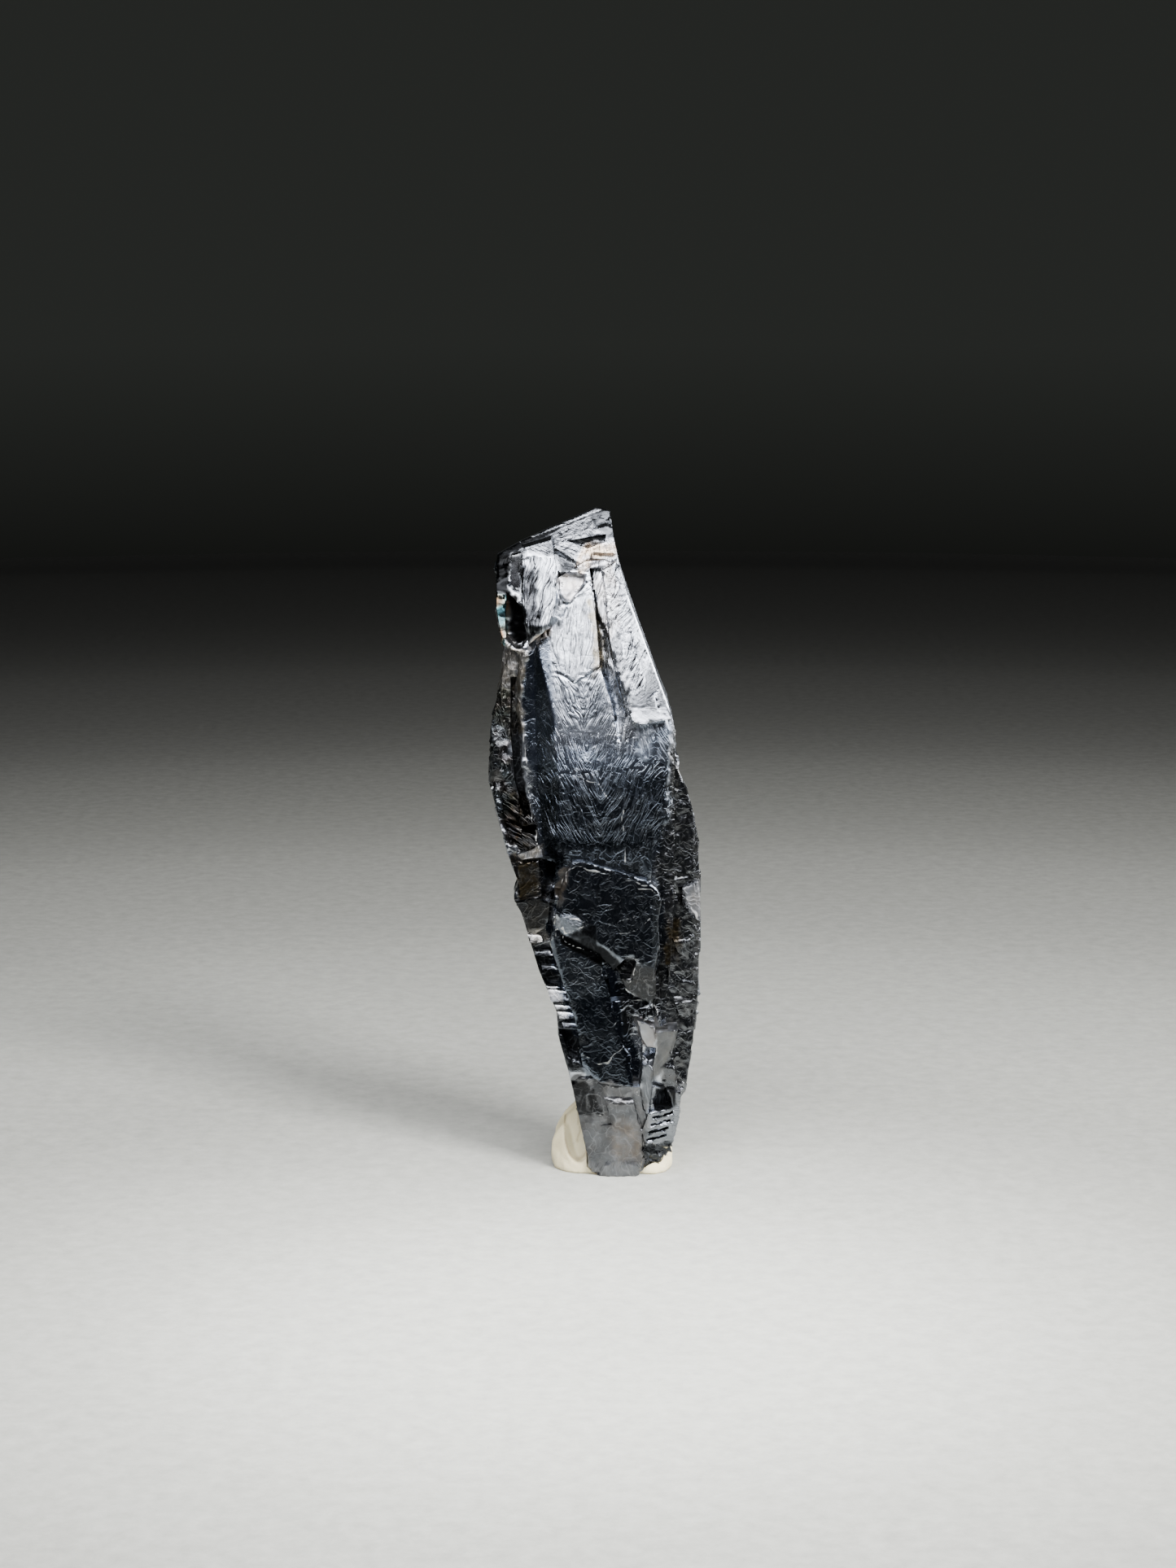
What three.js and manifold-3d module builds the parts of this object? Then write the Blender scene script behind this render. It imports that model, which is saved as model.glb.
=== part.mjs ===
// An elongated spinel-twin crystal of galena, standing on end in a lump of mineral tack.
// Millimetres, +Z up, front towards -Y. The crystal is a stack of flattened growth plates that lean
// backwards, each an outline seen from the front [x, z] cut by the flat faces that bound it.
import * as THREE from "three";
import { mergeVertices } from "three/addons/utils/BufferGeometryUtils.js";
import { ConvexGeometry } from "three/addons/geometries/ConvexGeometry.js";
import Module from "manifold-3d";

const wasm = await Module();
wasm.setup();

// ---------- driving dimensions ----------
const LEAN = 9.5; // degrees that the twin plane leans back from upright
const SLOPE = Math.tan(THREE.MathUtils.degToRad(LEAN));
const REACH = 40; // half-depth of the raw prisms and cutting blocks, past every side of the crystal
const TACK_GAP = 0.35; // left free between the crystal and the tack
const TACK_REACH = 9; // height up to which the foot is pressed into the tack

// A face is a plane through `at` that leans back by `tilt` degrees and looks right by `turn` degrees.
// `back` is how far the rear of a plate lies behind the twin plane.
const CORE = {
  outline: [
    [-7.3, 45.8], [-5.5, 46.8], [-3.5, 47.7], [0.2, 49.3], [1.2, 49.0], [1.5, 47.0], [1.9, 45.1],
    [4.2, 38.6], [5.5, 35.3], [6.0, 32.9], [6.0, 20.8], [5.4, 11.8], [6.4, 5.8], [6.1, 3.4],
    [5.1, 1.0], [4.0, 0], [0.6, 0], [-0.3, 0.6], [-1.0, 4.0], [-1.9, 7.9], [-2.7, 10.7], [-2.8, 12.4],
    [-4.1, 15.4], [-5.4, 19.6], [-6.0, 20.7], [-5.2, 23.8], [-5.6, 27.0], [-5.8, 30.5], [-5.6, 38.8],
    [-6.8, 39.5], [-7.3, 42.0],
  ],
  back: 1.5,
  faces: [
    { at: [0, 2.3, 26.9], tilt: LEAN, turn: 0 },
    { at: [-0.9, 4.3, 38.9], tilt: 22, turn: 0 },
    { at: [-1.8, 7.4, 46.8], tilt: 42, turn: -16 },
    { at: [0, -0.7, 6.5], tilt: -4, turn: 0 },
  ],
};
const REAR_RIGHT = {
  outline: [
    [3.7, 32.4], [6.1, 30.5], [7.1, 28.0], [7.8, 25.0], [8.0, 20.4], [7.8, 12.4], [7.0, 6.7], [6.4, 5.2],
    [3.7, 6.2], [1.2, 14.6], [0.9, 26.8],
  ],
  back: 2.0,
  faces: [
    { at: [6.5, 2.7, 17.4], tilt: 8, turn: 12 },
    { at: [7.5, 3.3, 19.8], tilt: 8, turn: 47 },
  ],
};
const REAR_LEFT = {
  outline: [
    [-4.9, 42.8], [-7.3, 41.8], [-6.8, 39.4], [-7.0, 36.5], [-7.7, 33.3], [-7.9, 29.1], [-7.2, 26.7],
    [-6.4, 23.8], [-5.4, 21.2], [-2.4, 20.4], [-2.4, 41.4],
  ],
  back: 1.5,
  faces: [
    { at: [-7.0, 4.2, 32.7], tilt: 11, turn: -18 },
    { at: [-7.5, 3.9, 30.3], tilt: 7, turn: -53 },
  ],
};
const SHIELD = {
  outline: [
    [-3.0, 44.1], [-4.3, 39.9], [-5.0, 36.1], [-5.2, 31.3], [-4.7, 27.1], [-4.0, 24.5], [-3.2, 21.8],
    [0.6, 21.5], [4.2, 22.2], [4.4, 24.8], [5.8, 27.2], [6.0, 31.4], [5.5, 35.4], [4.2, 38.6],
    [2.9, 42.2], [1.9, 45.2], [0.9, 45.6], [-0.6, 45.6],
  ],
  back: 0.9,
  faces: [
    { at: [-1.8, 1.5, 31.3], tilt: 12, turn: -2 },
    { at: [-3.1, 2.5, 35.9], tilt: 8, turn: -44 },
    { at: [3.3, 3.1, 39.5], tilt: 30, turn: 44 },
    { at: [5.4, 1.1, 30.5], tilt: 10, turn: 43 },
    { at: [0.4, 2.3, 35.1], tilt: 20, turn: -3 },
    { at: [0.3, 0.8, 28.1], tilt: 5, turn: -2 },
  ],
};
const RIGHT_RIDGE = {
  outline: [
    [0.6, 45.0], [1.6, 45.6], [2.9, 42.2], [4.2, 38.7], [5.4, 35.5], [5.8, 34.2], [2.9, 34.0],
    [2.1, 36.6], [1.2, 39.8],
  ],
  back: 0.9,
  faces: [
    { at: [3.0, 2.6, 39.2], tilt: 22, turn: 9 },
    { at: [3.4, 3.0, 39.5], tilt: 28, turn: 42 },
  ],
};
const TOP_BLOCK = {
  outline: [[-5.3, 46.6], [-3.2, 47.2], [-2.7, 44.7], [-2.9, 42.4], [-3.5, 40.8], [-4.9, 39.6], [-5.4, 43.2]],
  back: 0.9,
  faces: [
    { at: [-4.3, 4.1, 43.8], tilt: 23, turn: -8 },
    { at: [-4.2, 2.9, 40.8], tilt: 0, turn: -8 },
  ],
};
const CREAM_FACE = {
  outline: [
    [-3.5, 40.5], [-2.4, 41.6], [-1.8, 42.7], [-0.3, 44.2], [0.2, 40.9], [0.4, 38.0], [-1.5, 36.8],
    [-2.4, 37.5], [-3.0, 39.0],
  ],
  back: 0.9,
  faces: [{ at: [-1.2, 3.8, 39.6], tilt: 21, turn: -4 }],
};
const RIDGE_END = {
  outline: [[3.1, 35.2], [4.8, 36.4], [5.7, 34.4], [3.0, 34.0]],
  back: 0.9,
  faces: [{ at: [4.3, 1.15, 35.2], tilt: 24, turn: 4 }],
};
const CORNER_FACET = {
  outline: [[-6.25, 45.9], [-5.45, 46.1], [-5.4, 45.0], [-5.65, 43.3], [-6.15, 43.7], [-6.3, 44.7]],
  back: 0.9,
  faces: [{ at: [-5.9, 6.3, 44.8], tilt: 14, turn: -6 }],
};
const MID_PLATE = {
  outline: [
    [-2.4, 22.2], [-2.0, 23.3], [-1.6, 23.9], [-0.7, 23.9], [3.9, 22.55], [4.7, 21.8], [5.0, 20.8],
    [4.75, 19.5], [4.85, 17.65], [4.55, 16.1], [3.2, 16.4], [2.9, 16.9], [2.4, 16.9], [1.4, 15.8],
    [0.5, 16.9], [-0.1, 17.5], [-1.6, 17.95], [-2.4, 18.7], [-3.0, 19.2], [-2.8, 20.3],
  ],
  back: 0.9,
  faces: [
    { at: [0.9, -0.8, 20.7], tilt: 8, turn: 0 },
    { at: [-0.6, -1.15, 18.8], tilt: -10, turn: -12 },
    { at: [4.2, -1.05, 19.2], tilt: 7, turn: 35 },
  ],
};
const BLADE = {
  outline: [
    [-3.0, 20.1], [-3.3, 17.7], [-2.5, 15.3], [-1.8, 13.4], [-1.2, 11.2], [-0.9, 8.8], [0.3, 7.5],
    [2.95, 7.2], [2.75, 9.5], [1.9, 10.8], [1.6, 12.2], [1.1, 14.3], [0.6, 15.6], [0.6, 17.6],
  ],
  back: 0.9,
  faces: [
    { at: [-0.9, -1.4, 13.9], tilt: 7, turn: -3 },
    { at: [1.9, -1.8, 11.6], tilt: 16, turn: 36 },
    { at: [-1.9, -1.4, 13.3], tilt: -2, turn: -35 },
  ],
};
const WEDGE = {
  outline: [
    [1.95, 15.2], [2.75, 15.2], [3.15, 16.5], [4.55, 16.2], [4.6, 14.0], [4.25, 13.1], [3.35, 13.6],
    [2.4, 14.2],
  ],
  back: 0.9,
  faces: [{ at: [3.6, -0.9, 15.0], tilt: -3, turn: 6 }],
};
// The broken right side of the lower end: small faces, each at its own slant.
const BROKEN_FACES = [
  { // under the wedge, dark
    outline: [[3.35, 12.9], [4.3, 13.3], [4.5, 11.9], [3.65, 12.0]],
    faces: [{ at: [4.0, -0.9, 12.5], tilt: 12, turn: 0 }],
  },
  { // bright quadrilateral
    outline: [[3.2, 12.1], [3.65, 11.95], [4.5, 11.5], [4.65, 9.9], [3.95, 10.0], [3.5, 10.8]],
    faces: [{ at: [4.0, -1.3, 11.0], tilt: -6, turn: 2 }],
  },
  { // broad slanting face beside it
    outline: [
      [4.55, 11.1], [6.25, 11.2], [5.95, 9.9], [5.6, 8.9], [4.6, 7.7], [4.4, 6.3], [4.2, 6.3],
      [4.4, 8.6], [4.6, 9.8],
    ],
    faces: [{ at: [5.2, -0.9, 9.8], tilt: -7, turn: 15 }],
  },
  { // upright ridge with two sides
    outline: [[3.45, 8.7], [4.05, 8.9], [4.4, 8.4], [4.25, 6.3], [4.05, 4.8], [3.65, 5.3], [3.4, 7.2]],
    faces: [{ at: [3.95, -1.8, 7.0], tilt: -6, turn: -15 }, { at: [3.95, -1.8, 7.0], tilt: -6, turn: 17 }],
  },
];
const FOOT = {
  outline: [
    [-1.7, 7.1], [-1.1, 7.6], [0.3, 7.6], [3.0, 7.2], [4.4, 7.1], [6.5, 6.4], [6.3, 4.6], [5.9, 2.6],
    [5.1, 1.1], [3.6, 0.5], [3.0, 0], [0.6, 0], [-0.1, 0.5], [-0.6, 2.0], [-1.1, 4.3],
  ],
  back: 0.9,
  faces: [
    { at: [1.2, -1.15, 2.7], tilt: -5, turn: 2 },
    { at: [-0.5, -1.2, 5.0], tilt: 3, turn: -14 },
    { at: [2.0, -1.75, 6.9], tilt: 46, turn: 4 },
  ],
};
const FOOT_FACE = {
  outline: [
    [-0.6, 3.9], [1.3, 4.1], [0.7, 6.3], [1.65, 6.2], [2.9, 6.1], [3.5, 4.0], [3.65, 1.9], [3.5, 0.7],
    [3.2, 0], [0.4, 0], [-0.45, 0.6],
  ],
  back: 0.9,
  faces: [
    { at: [1.2, -1.45, 2.7], tilt: -7, turn: 0 },
    { at: [1.6, -1.7, 4.6], tilt: -5, turn: -16 },
    { at: [2.2, -1.8, 5.9], tilt: 40, turn: 0 },
  ],
};
const FOOT_FAN = {
  outline: [
    [4.05, 5.1], [5.8, 5.4], [6.3, 5.8], [6.4, 4.9], [6.1, 4.0], [6.0, 3.1], [5.6, 2.3], [3.75, 2.5],
    [3.6, 3.7],
  ],
  back: 0.9,
  faces: [{ at: [5.0, -1.35, 3.8], tilt: -13, turn: 10 }, { at: [5.9, -1.1, 4.0], tilt: -8, turn: 46 }],
};
const FLANK_PANEL = {
  outline: [[-5.7, 23.5], [-4.1, 23.7], [-4.1, 20.9], [-5.6, 20.8]],
  back: 0.9,
  faces: [{ at: [-5.0, 1.2, 22.2], tilt: 4, turn: -12 }],
};
const FLANK_WEDGE = {
  outline: [[-5.8, 24.1], [-4.0, 24.8], [-3.8, 24.0], [-5.4, 23.8]],
  back: 0.9,
  faces: [{ at: [-4.8, 1.3, 24.2], tilt: 48, turn: -10 }],
};
const LOWER_PANEL = {
  outline: [[-5.95, 20.7], [-3.9, 21.2], [-3.3, 20.7], [-3.5, 18.6], [-4.8, 18.2], [-5.3, 19.6]],
  back: 0.9,
  faces: [{ at: [-4.6, 0.5, 19.7], tilt: 1, turn: -10 }],
};
const SIDE_BLAZE = {
  outline: [[6.6, 21.3], [7.8, 21.7], [8.0, 20.4], [8.0, 18.7], [7.0, 19.4], [6.6, 20.3]],
  back: 2,
  faces: [{ at: [7.4, 2.7, 20.2], tilt: 14, turn: 28 }],
};
// Three growth plates stacked on the rear, each smaller than the one before.
const REAR_PLATES = [
  {
    outline: [
      [-6.6, 44.5], [-3.3, 46.9], [0.2, 48.4], [1.2, 46.5], [4.0, 38.0], [5.6, 33.0], [7.2, 26.5],
      [7.6, 20.0], [7.2, 12.0], [6.2, 5.0], [4.6, 1.2], [0.6, 1.0], [-0.7, 5.0], [-2.2, 11.0],
      [-4.6, 18.5], [-5.4, 24.0], [-7.2, 29.5], [-6.9, 34.0], [-6.2, 39.5],
    ],
    back: 2.1,
    rears: [{ at: [0, 7.7, 34], tilt: 2, turn: 0 }, { at: [0, 3.7, 10], tilt: 16, turn: 0 }],
  },
  {
    outline: [
      [-5.0, 44.0], [-1.5, 46.8], [0.4, 46.0], [3.0, 38.5], [4.9, 31.0], [6.2, 22.0], [6.0, 13.0],
      [4.8, 6.0], [1.2, 4.0], [-0.8, 10.0], [-3.6, 19.0], [-5.6, 29.0], [-5.4, 37.0],
    ],
    back: 2.9,
    rears: [{ at: [0, 8.2, 33], tilt: 0, turn: 3 }, { at: [0, 4.8, 12], tilt: 18, turn: -3 }],
  },
  {
    outline: [
      [-3.4, 40.0], [-0.8, 43.5], [1.6, 38.0], [3.6, 29.0], [4.4, 19.0], [3.0, 12.0], [0.4, 13.5],
      [-2.4, 22.0], [-4.2, 31.0],
    ],
    back: 3.5,
    rears: [{ at: [0, 8.6, 31], tilt: -2, turn: -5 }, { at: [0, 5.9, 15], tilt: 20, turn: 5 }],
  },
];

// Hollows between the plates: each is cut from the front down to its floor.
const HOLLOWS = [
  { // the long groove down the upper half
    outline: [
      [-0.35, 45.0], [0.5, 45.0], [1.1, 39.8], [1.65, 37.2], [2.1, 35.4], [2.8, 32.7], [2.6, 31.4],
      [1.95, 31.9], [1.35, 35.1], [0.45, 37.9], [0.1, 42.3],
    ],
    floor: { at: [1.0, 4.5, 39.0], tilt: 20, turn: -28 },
  },
  { // short slot beside the head of the groove
    outline: [[0.65, 44.9], [0.95, 42.6], [0.75, 42.6], [0.55, 44.7]],
    floor: { at: [0.7, 5.8, 43.8], tilt: 12, turn: 0 },
  },
  { // deep pocket beside the top block
    outline: [
      [-6.55, 43.2], [-5.95, 42.7], [-5.45, 42.0], [-5.0, 40.8], [-4.85, 39.9], [-5.45, 39.2],
      [-5.95, 39.2], [-6.55, 39.9], [-6.65, 41.1],
    ],
    floor: { at: [-5.7, 6.8, 41.0], tilt: 10, turn: 0 },
  },
  { // three-cornered pit above the shield
    outline: [[-2.55, 44.7], [-0.75, 44.5], [-0.85, 43.9], [-1.8, 42.6], [-2.4, 42.7], [-2.85, 43.8]],
    floor: { at: [-1.8, 5.9, 43.7], tilt: 15, turn: 8 },
  },
  { // crescent trough above that pit
    outline: [[-3.0, 46.1], [-2.4, 45.2], [-1.2, 45.0], [-1.5, 45.5], [-2.3, 45.8], [-2.8, 46.2]],
    floor: { at: [-2.1, 7.1, 45.6], tilt: 6, turn: 8 },
  },
  { // flat recess under the top ridge
    outline: [[-2.0, 46.9], [0.9, 47.4], [0.8, 46.8], [-0.5, 46.4]],
    floor: { at: [-0.5, 8.0, 46.9], tilt: 5, turn: 0 },
  },
  { // slit between the shield and the strip on its left
    outline: [
      [-6.25, 37.0], [-5.8, 37.0], [-5.65, 33.0], [-5.5, 30.6], [-4.85, 27.0], [-5.2, 26.7],
      [-5.95, 29.4], [-6.25, 33.0],
    ],
    floor: { at: [-5.8, 5.4, 31.0], tilt: LEAN, turn: 0 },
  },
  { // notch below that slit
    outline: [[-5.4, 26.0], [-4.4, 26.2], [-4.3, 25.4], [-5.3, 25.7]],
    floor: { at: [-4.8, 3.6, 25.8], tilt: LEAN, turn: 0 },
  },
  { // gap left of the raised plate
    outline: [[-4.1, 23.8], [-2.9, 23.6], [-3.0, 20.6], [-3.9, 20.9]],
    floor: { at: [-3.5, 3.0, 22.0], tilt: LEAN, turn: 15 },
  },
  { // black step of the ladder
    outline: [[-3.7, 14.9], [-2.5, 15.1], [-2.3, 14.3], [-3.5, 14.3]],
    floor: { at: [-2.9, 1.6, 14.7], tilt: LEAN, turn: 0 },
  },
  { // dark corner under the ladder
    outline: [[-2.7, 11.2], [-1.4, 11.1], [-1.1, 10.0], [-1.2, 8.8], [-1.9, 9.2], [-2.3, 10.6]],
    floor: { at: [-1.9, 1.0, 10.2], tilt: LEAN, turn: -10 },
  },
  { // recess at the head of the blade
    outline: [[0.9, 15.9], [1.4, 15.7], [1.9, 15.2], [2.4, 14.2], [2.9, 13.8], [2.5, 13.3], [1.3, 13.2]],
    floor: { at: [1.5, 1.6, 14.2], tilt: LEAN, turn: 0 },
  },
  { // gutter between the blade and the broken faces
    outline: [[2.6, 12.1], [3.2, 12.1], [3.5, 10.8], [3.6, 9.2], [3.4, 7.0], [2.9, 7.0]],
    floor: { at: [3.1, 0.6, 9.4], tilt: LEAN, turn: 0 },
  },
  { // slot on the right of the wedge
    outline: [[4.8, 15.9], [5.5, 15.9], [5.6, 11.8], [5.0, 11.4]],
    floor: { at: [5.2, 1.8, 13.8], tilt: LEAN, turn: 0 },
  },
  { // gap under the bright quadrilateral
    outline: [[3.65, 10.05], [4.6, 9.9], [4.45, 9.0], [4.05, 8.85], [3.65, 9.3]],
    floor: { at: [4.1, 0.3, 9.5], tilt: 0, turn: 20 },
  },
  { // cavity at the shoulder of the foot
    outline: [[4.75, 6.8], [5.4, 6.7], [5.7, 6.1], [5.85, 5.4], [4.5, 5.2], [4.4, 6.0]],
    floor: { at: [5.2, 0.2, 6.0], tilt: -10, turn: 20 },
  },
  { // broken corner of the foot
    outline: [[3.8, 2.45], [4.6, 2.4], [5.65, 2.25], [6.0, 1.8], [5.0, 0], [3.75, 0.4]],
    floor: { at: [4.6, -0.3, 1.4], tilt: -16, turn: 26 },
  },
];
// Runs of small repeated steps: how many, where the first is, and the step to the next [x, z].
const RIBS = { count: 4, first: [-5.15, 46.3], step: [0.58, 0.16], width: 0.3, height: 5.2, depth: 3.3 };
const STRANDS = { count: 2, first: [0.62, 43.0], step: [0.34, -0.9], width: 0.16, fall: 7.4, drift: 1.75 };
const CUTS = { count: 4, first: [4.35, 4.75], step: [-0.14, -0.6], width: 1.5, height: 0.18, depth: 1.0 };
const LEDGES = { count: 4, first: [5.6, 27.0], step: [0.1, -4.6], width: 1.9, height: 1.9, depth: 0.5 };
// The ladder down the left edge: each rung's left end [x, z], its length and its height.
const RUNGS = [
  [-5.0, 18.3, 1.1, 0.6], [-4.45, 17.1, 1.2, 0.35], [-3.95, 16.0, 1.1, 0.3], [-3.5, 14.25, 1.35, 0.85],
  [-2.95, 13.1, 1.1, 0.3], [-2.75, 12.6, 1.15, 0.45], [-2.4, 11.8, 1.0, 0.35],
];
const RUNG_DEPTH = 2.8;

// The tack: lumps [centre, radii], flattened where thumb and finger pressed it.
const TACK_LUMPS = [
  [[1.45, 4.07, 0.4], [4.5, 4.8, 4.9]],
  [[-0.9, 2.4, 0.9], [2.3, 2.6, 2.9]],
  [[4.05, 2.6, 0.2], [1.85, 2.5, 1.7]],
];
const TACK_PRESSES = [
  { at: [-1.45, 1.57, 3.0], tilt: 28, turn: -34 },
  { at: [1.4, 8.37, 2.0], tilt: -16, turn: -6, side: 1 },
];

// ---------- building blocks ----------
/** A closed three.js geometry as a solid that can be cut and joined. */
function solid(geometry) {
  const bare = geometry.clone();
  bare.deleteAttribute("normal");
  bare.deleteAttribute("uv");
  const merged = mergeVertices(bare);
  return new wasm.Manifold(
    new wasm.Mesh({
      numProp: 3,
      vertProperties: merged.attributes.position.array,
      triVerts: new Uint32Array(merged.index.array),
    }),
  );
}

/** Slides every point along Y in proportion to its height and its distance to the right. */
function shear(geometry, byHeight, byRight) {
  const matrix = new THREE.Matrix4();
  matrix.set(1, 0, 0, 0, byRight, 1, byHeight, 0, 0, 0, 1, 0, 0, 0, 0, 1);
  return geometry.applyMatrix4(matrix);
}

/** A leaning prism of a front-view outline, from far in front to `back` behind the twin plane. */
function prism(outline, back) {
  const shape = new THREE.Shape(outline.map(([x, z]) => new THREE.Vector2(x, z)));
  const geometry = new THREE.ExtrudeGeometry(shape, { depth: REACH, bevelEnabled: false });
  geometry.rotateX(Math.PI / 2).translate(0, back, 0);
  return solid(shear(geometry, SLOPE, 0));
}

/** Everything on one side of a face: side -1 is in front of it, side 1 is behind it. */
function beside(face, side) {
  const block = new THREE.BoxGeometry(4 * REACH, 2 * REACH, 4 * REACH).translate(0, side * REACH, 0);
  const radians = THREE.MathUtils.degToRad;
  shear(block, Math.tan(radians(face.tilt)), Math.tan(radians(face.turn)));
  return solid(block.translate(...face.at));
}

/** A growth plate: its prism cut back to its front faces and its rear faces. */
function plate({ outline, back, faces = [], rears = [] }) {
  let body = prism(outline, back);
  for (const face of faces) body = body.subtract(beside(face, -1));
  for (const rear of rears) body = body.subtract(beside(rear, 1));
  return body;
}

/** A hollow: everything in front of its floor, inside its outline. */
function hollow({ outline, floor }) {
  return prism(outline, REACH / 2).intersect(beside(floor, -1));
}

/** The steps of a run, each made by `shape` from its left end [x, z] and its number. */
function run({ count, first, step }, shape) {
  const steps = [];
  for (let i = 0; i < count; i++) steps.push(shape(first[0] + i * step[0], first[1] + i * step[1], i));
  return steps;
}

/** A solid turned back into a three.js mesh. */
function meshOf(body, name, material) {
  const { vertProperties, triVerts } = body.getMesh();
  const geometry = new THREE.BufferGeometry();
  geometry.setAttribute("position", new THREE.BufferAttribute(vertProperties, 3));
  geometry.setIndex(new THREE.BufferAttribute(triVerts, 1));
  geometry.computeVertexNormals();
  const mesh = new THREE.Mesh(geometry, material);
  mesh.name = name;
  return mesh;
}

// ---------- the crystal ----------
/** One rung of the ladder down the left edge: a small face that looks up. */
function rung([x, z, length, height]) {
  const y = z * SLOPE - RUNG_DEPTH;
  const right = x + length;
  return plate({
    outline: [[x, z], [right, z - 0.05], [right + 0.2, z - height], [x + height / 3, z - height - 0.05]],
    back: 0,
    faces: [{ at: [x, y, z], tilt: 22, turn: -6 }],
  });
}

/** Long thin strands in the groove, running down and to the right. */
function strand(x, z) {
  const { width, fall, drift } = STRANDS;
  const low = { x: x + drift, z: z - fall };
  return plate({
    outline: [[x, z], [x + width, z], [low.x + width, low.z], [low.x, low.z]],
    back: 0,
    faces: [{ at: [x, 5.35 + (z - 43) * 0.36, z], tilt: 20, turn: -20 }],
  });
}

/** Upright fibres of the block at the top left, leaning left and right by turns. */
function rib(x, z, i) {
  const { width, height, depth } = RIBS;
  return plate({
    outline: [[x, z], [x + width, z], [x + width + 0.1, z - height], [x + 0.1, z - height + 0.5]],
    back: 0,
    faces: [{ at: [x + width / 2, z * SLOPE - depth + 0.55, z - 1], tilt: 21, turn: i % 2 ? 24 : -24 }],
  });
}

/** Broken ledges on the plate at the rear right. */
function ledge(x, z) {
  const { width, height, depth } = LEDGES;
  const y = z * SLOPE - depth;
  return plate({
    outline: [[x, z], [x + width - 0.4, z - 0.4], [x + width - 0.6, z - height], [x + 0.5, z - height + 0.5]],
    back: 1,
    faces: [{ at: [x + 1, y, z - 1], tilt: 3, turn: 16 }, { at: [x + 1, y, z - 0.5], tilt: 50, turn: 10 }],
  });
}

/** Level cuts in the right side of the foot. */
function cut(x, z) {
  const { width, height, depth } = CUTS;
  return hollow({
    outline: [[x, z], [x + width, z + 0.35], [x + width, z + 0.35 - height], [x, z - height]],
    floor: { at: [x + 1, depth - 1.4, z], tilt: -6, turn: 8 },
  });
}

function galenaCrystal() {
  const plates = [
    REAR_RIGHT, REAR_LEFT, SHIELD, RIGHT_RIDGE, TOP_BLOCK, FLANK_PANEL, FLANK_WEDGE, LOWER_PANEL,
    MID_PLATE, BLADE, WEDGE, FOOT, FOOT_FACE, FOOT_FAN, SIDE_BLAZE, CREAM_FACE, RIDGE_END, CORNER_FACET,
  ];
  const insideFace = { at: [0, 0.5, 0], tilt: LEAN, turn: 0 };
  let body = plate(CORE);
  for (const front of plates) body = body.add(plate(front));
  for (const broken of BROKEN_FACES) body = body.add(plate({ ...broken, back: 0.5 }));
  for (const rear of REAR_PLATES) body = body.add(plate({ ...rear, faces: [insideFace] }));
  for (const gap of HOLLOWS) body = body.subtract(hollow(gap));
  for (const gap of run(CUTS, cut)) body = body.subtract(gap);
  const steps = [...RUNGS.map(rung), ...run(RIBS, rib), ...run(STRANDS, strand), ...run(LEDGES, ledge)];
  for (const step of steps) body = body.add(step);
  return body;
}

// ---------- the tack ----------
/** The bed that the foot pressed into the tack: its convex hull, grown by the gap on every side. */
function footBed(crystal) {
  const slab = new THREE.BoxGeometry(4 * REACH, 4 * REACH, 2 * TACK_REACH);
  const { vertProperties } = crystal.intersect(solid(slab)).getMesh();
  const points = [];
  for (let i = 0; i < vertProperties.length; i += 3) {
    points.push(new THREE.Vector3().fromArray(vertProperties, i));
  }
  const hull = new ConvexGeometry(points);
  hull.computeBoundingBox();
  const centre = hull.boundingBox.getCenter(new THREE.Vector3());
  const size = hull.boundingBox.getSize(new THREE.Vector3());
  hull.translate(-centre.x, -centre.y, -centre.z);
  hull.scale(1 + (2 * TACK_GAP) / size.x, 1 + (2 * TACK_GAP) / size.y, 1 + (2 * TACK_GAP) / size.z);
  return solid(hull.translate(centre.x, centre.y, centre.z));
}

function mineralTack(crystal) {
  const lumps = TACK_LUMPS.map(([centre, radii]) =>
    solid(new THREE.IcosahedronGeometry(1, 7).scale(...radii).translate(...centre)));
  let body = lumps[0];
  for (const lump of lumps.slice(1)) body = body.add(lump);
  for (const press of TACK_PRESSES) body = body.subtract(beside(press, press.side ?? -1));
  const underFloor = new THREE.BoxGeometry(4 * REACH, 4 * REACH, REACH).translate(0, 0, -REACH / 2);
  return body.subtract(solid(underFloor)).subtract(footBed(crystal));
}

// ---------- the part ----------
const crystal = galenaCrystal();
const tack = mineralTack(crystal);
const galena = new THREE.MeshStandardMaterial({ color: 0x6b6e75, roughness: 0.35, metalness: 0.9 });
const putty = new THREE.MeshStandardMaterial({ color: 0xe6dfce, roughness: 0.85, metalness: 0 });
const part = new THREE.Group();
part.add(meshOf(crystal, "galena_crystal", galena), meshOf(tack, "mineral_tack", putty));

// The origin is the middle of the box, on the floor.
const box = new THREE.Box3().setFromObject(part);
const middle = box.getCenter(new THREE.Vector3()).setZ(box.min.z);
for (const mesh of part.children) mesh.position.sub(middle);
export default part;
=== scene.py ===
# %% [markdown]
# # A spinel-twin crystal of galena in a lump of mineral tack
# Galena is lead sulphide: soft, heavy, and as bright as polished lead. This crystal grew as a stack of
# flattened plates and stands on end in a pinch of putty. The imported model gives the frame. The crystal
# is made here from its solid, and the putty is pressed anew where its solid is.

# %% Load the frame
import math
import bmesh
import bpy
import numpy as np
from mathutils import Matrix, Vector, noise


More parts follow.
